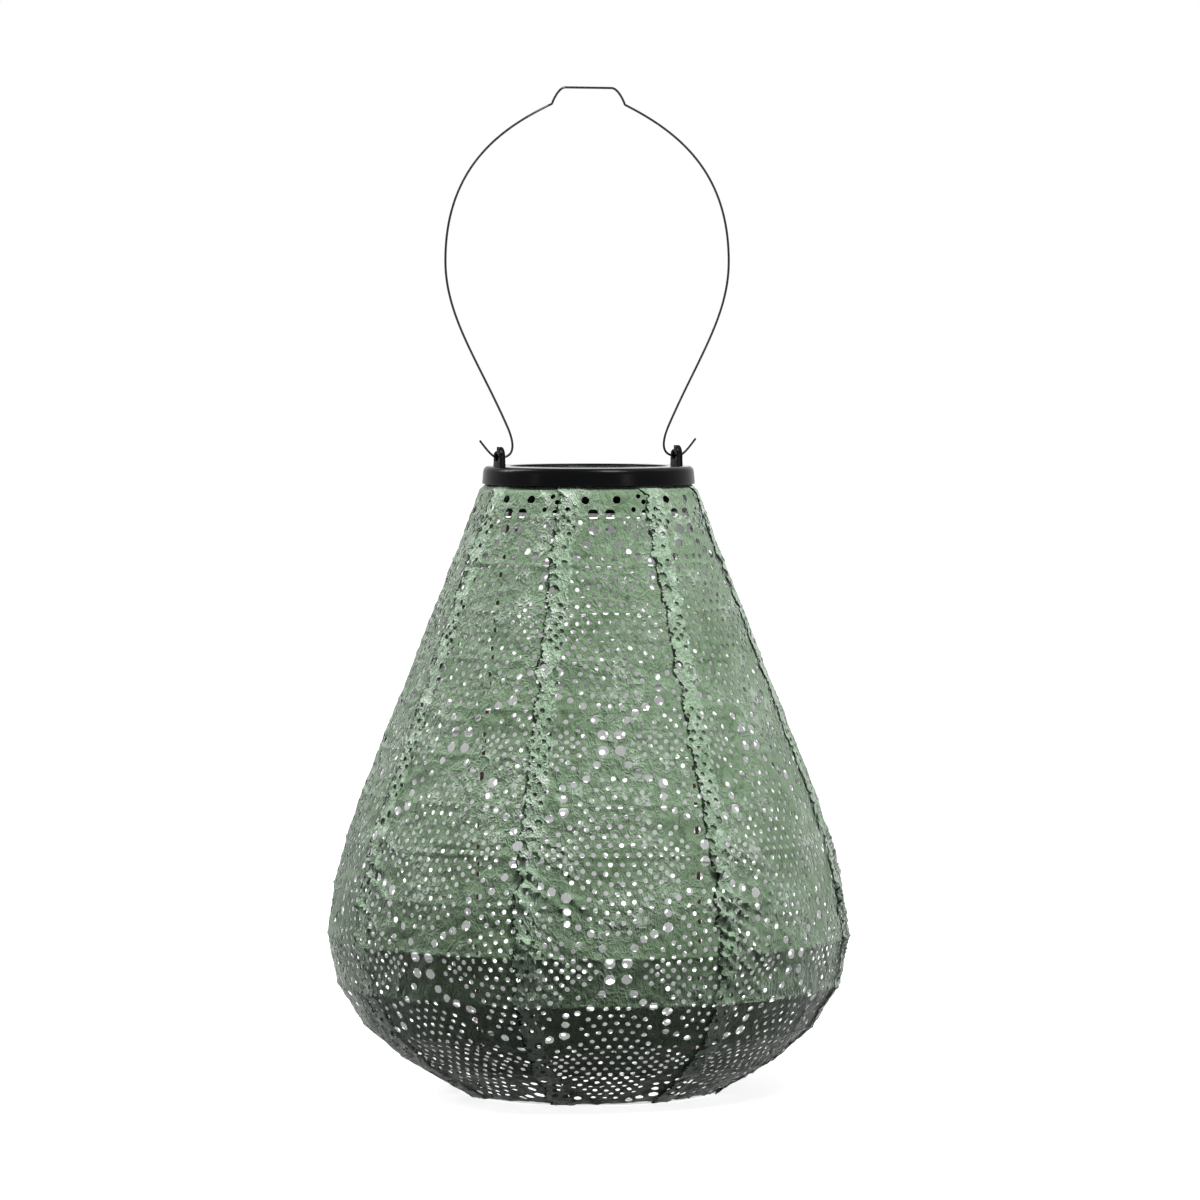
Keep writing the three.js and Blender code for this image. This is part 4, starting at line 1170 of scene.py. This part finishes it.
def square_frame(half, radius, low, high, steps=48):
    """Points and faces of a ledge, round outside and square inside, and of the square's walls under it."""
    points = []
    for height in (low, high):
        for k in range(steps):
            turn = 2 * math.pi * (k + 0.5) / steps
            reach = half / max(abs(math.cos(turn)), abs(math.sin(turn)))
            points.append((reach * math.cos(turn), reach * math.sin(turn), height))
            points.append((radius * math.cos(turn), radius * math.sin(turn), height))
    faces = []
    level = 2 * steps
    for k in range(steps):
        a = 2 * k
        b = 2 * ((k + 1) % steps)
        faces.append((a + level, b + level, b + level + 1, a + level + 1))
        faces.append((a, b, b + level, a + level))
    return points, faces


mesh_piece("solar_cell_frame", *square_frame(cell_half, floor_radius, pocket, rebate), *unit_plastic)
print("light unit top at", round(unit_top, 1), "mm")

# %% [markdown]
# The cover over the cell is a disc of clear polycarbonate, moulded and polished, so it is almost perfectly
# smooth, with the plastic's own index of refraction. Under the unit, a thin milky dome covers the diode. Its
# section is an ellipse outside and a smaller one inside, which meet at a flat flange.

# %% Solar window and diffuser
cover_under = rebate + 0.3
cover_face = rebate + 1.6
dome_radius = 7.4
dome_drop = 6.0
dome_wall = 1.2
dome_flange = 9.6
flange_low = plate_top + 0.3
flange_high = plate_top + 1.5
base_under = collar_top - 22.7
pole = math.pi / 2 - 0.01

clear = {"Transmission Weight": 1.0, "IOR": 1.58}
clear_polycarbonate = moulded("clear_polycarbonate", "#F4F8F8", "#EEF3F3", 0.0, 0.01, 0.0002, clear)
cover_section = [
    (0.02, cover_under, 0),
    (cover_radius, cover_under, 0.2),
    (cover_radius, cover_face, 0.5),
    (0.02, cover_face, 0),
]
cover_finish = (clear_polycarbonate, "light_unit", "clear_plastic")
mesh_piece("solar_window", *turned(eased(cover_section), 192), *cover_finish, ["solar_cover"])

inner_radius = dome_radius - dome_wall
dome = arc(0, base_under, dome_radius, -dome_drop, pole, 0, 19)
dome += [(dome_radius, flange_low), (dome_flange, flange_low), (dome_flange, flange_high)]
dome += [(inner_radius, flange_high)]
dome += arc(0, base_under, inner_radius, dome_wall - dome_drop, 0, pole, 19)
dome_finish = (milky_polypropylene, "light_unit", "milky_plastic")
mesh_piece("diffuser_dome", *turned(dome, 96), *dome_finish, ["diffuser"])
print("dome hangs down to", round(base_under - dome_drop, 1), "mm")

# %% [markdown]
# The solar cell is monocrystalline silicon under a film of resin, cut in strips. Printed silver fingers run
# across each strip every 1.6 mm, and two wider bars gather them. The circuit board is glass-fibre laminate
# under green solder mask, and its weave shows faintly. Its threads lie about 0.6 mm apart and are drawn at
# 1.6 mm, as coarse as it takes to show them. The unit's smaller pieces are simple solids already, so they
# keep their shape from the frame and only get their finish here.

# %% Cell and board
finger_pitch = 1.6
finger_width = 0.12
strip_width = 11.2
cut_width = 0.5
bar_places = (-12.0, 12.0)
bar_half = 0.6
weave_pitch = 1.6
yarn_width = 0.7


def near_lines(tree, way, pitch, width):
    """1 on lines of this width every pitch, and 0 between them."""
    place = add(tree, "Math", {0: way, 1: pitch / 2 * MM}, operation="PINGPONG").outputs[0]
    return add(tree, "Math", {0: place, 1: width / 2 * MM}, operation="LESS_THAN").outputs[0]


def silicon_cell():
    """Blue-black silicon with silver fingers and bars, and dark cuts between the strips."""
    material, tree = blank_material("monocrystalline_silicon")
    where = add(tree, "TexCoord").outputs["Object"]
    ways = add(tree, "SeparateXYZ", {0: where}).outputs
    cloudy = add(tree, "TexNoise", {"Vector": where, "Scale": 1 / (9 * MM), "Detail": 3.0}).outputs["Fac"]
    blues = {0: cloudy, 6: linear("#0B1026"), 7: linear("#16213F")}
    crystal = add(tree, "Mix", blues, data_type="RGBA").outputs[2]
    silver = near_lines(tree, ways["Y"], finger_pitch, finger_width)
    for place in bar_places:
        from_bar = add(tree, "Math", {0: ways["X"], 1: place * MM}, operation="SUBTRACT").outputs[0]
        away = add(tree, "Math", {0: from_bar}, operation="ABSOLUTE").outputs[0]
        bar = add(tree, "Math", {0: away, 1: bar_half * MM}, operation="LESS_THAN").outputs[0]
        silver = add(tree, "Math", {0: silver, 1: bar}, operation="MAXIMUM").outputs[0]
    colour = add(tree, "Mix", {0: silver, 6: crystal, 7: linear("#B8BCC0")}, data_type="RGBA").outputs[2]
    cut = near_lines(tree, ways["Y"], strip_width, cut_width)
    colour = add(tree, "Mix", {0: cut, 6: colour, 7: linear("#23252A")}, data_type="RGBA").outputs[2]
    rough = add(tree, "MapRange", {"Value": silver, "To Min": 0.12, "To Max": 0.4}).outputs[0]
    values = {"Base Color": colour, "Roughness": rough, "Coat Weight": 0.6, "Coat Roughness": 0.05}
    add(tree, "OutputMaterial", {"Surface": add(tree, "BsdfPrincipled", values).outputs[0]})
    return material


def laminate_board():
    """Green solder mask over glass cloth, whose threads show as a faint grid."""
    material, tree = blank_material("fr4_green_solder_mask")
    where = add(tree, "TexCoord").outputs["Object"]
    ways = add(tree, "SeparateXYZ", {0: where}).outputs
    weft = near_lines(tree, ways["X"], weave_pitch, yarn_width)
    warp = near_lines(tree, ways["Y"], weave_pitch, yarn_width)
    weave = add(tree, "Math", {0: weft, 1: warp}, operation="ADD").outputs[0]
    weave = add(tree, "Math", {0: weave, 1: 0.5}, operation="MULTIPLY").outputs[0]
    greens = {0: weave, 6: linear("#1B5436"), 7: linear("#216140")}
    colour = add(tree, "Mix", greens, data_type="RGBA").outputs[2]
    raised = add(tree, "Bump", {"Height": weave, "Strength": 1.0, "Distance": 0.01 * MM}).outputs[0]
    values = {"Base Color": colour, "Roughness": 0.35, "Normal": raised}
    add(tree, "OutputMaterial", {"Surface": add(tree, "BsdfPrincipled", values).outputs[0]})
    return material


screws = ["battery_door_screw", "unit_screw_1", "unit_screw_2", "unit_screw_3"]
finishes = {
    silicon_cell(): ["solar_cell"],
    laminate_board(): ["circuit_board"],
    black_abs: ["unit_base", "battery_door", "switch_knob", "switch_body"],
    silicone_rubber: ["unit_seal"],
    milky_polypropylene: ["led"],
    shrink_sleeve: ["battery"],
    zinc_plate: ["contact_minus", "contact_plus", *screws],
}
for material, names in finishes.items():
    for name in names:
        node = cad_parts[name]
        node.data.materials.clear()
        node.data.materials.append(material)
print(sum(map(len, finishes.values())), "pieces of the unit keep their shape from the frame")
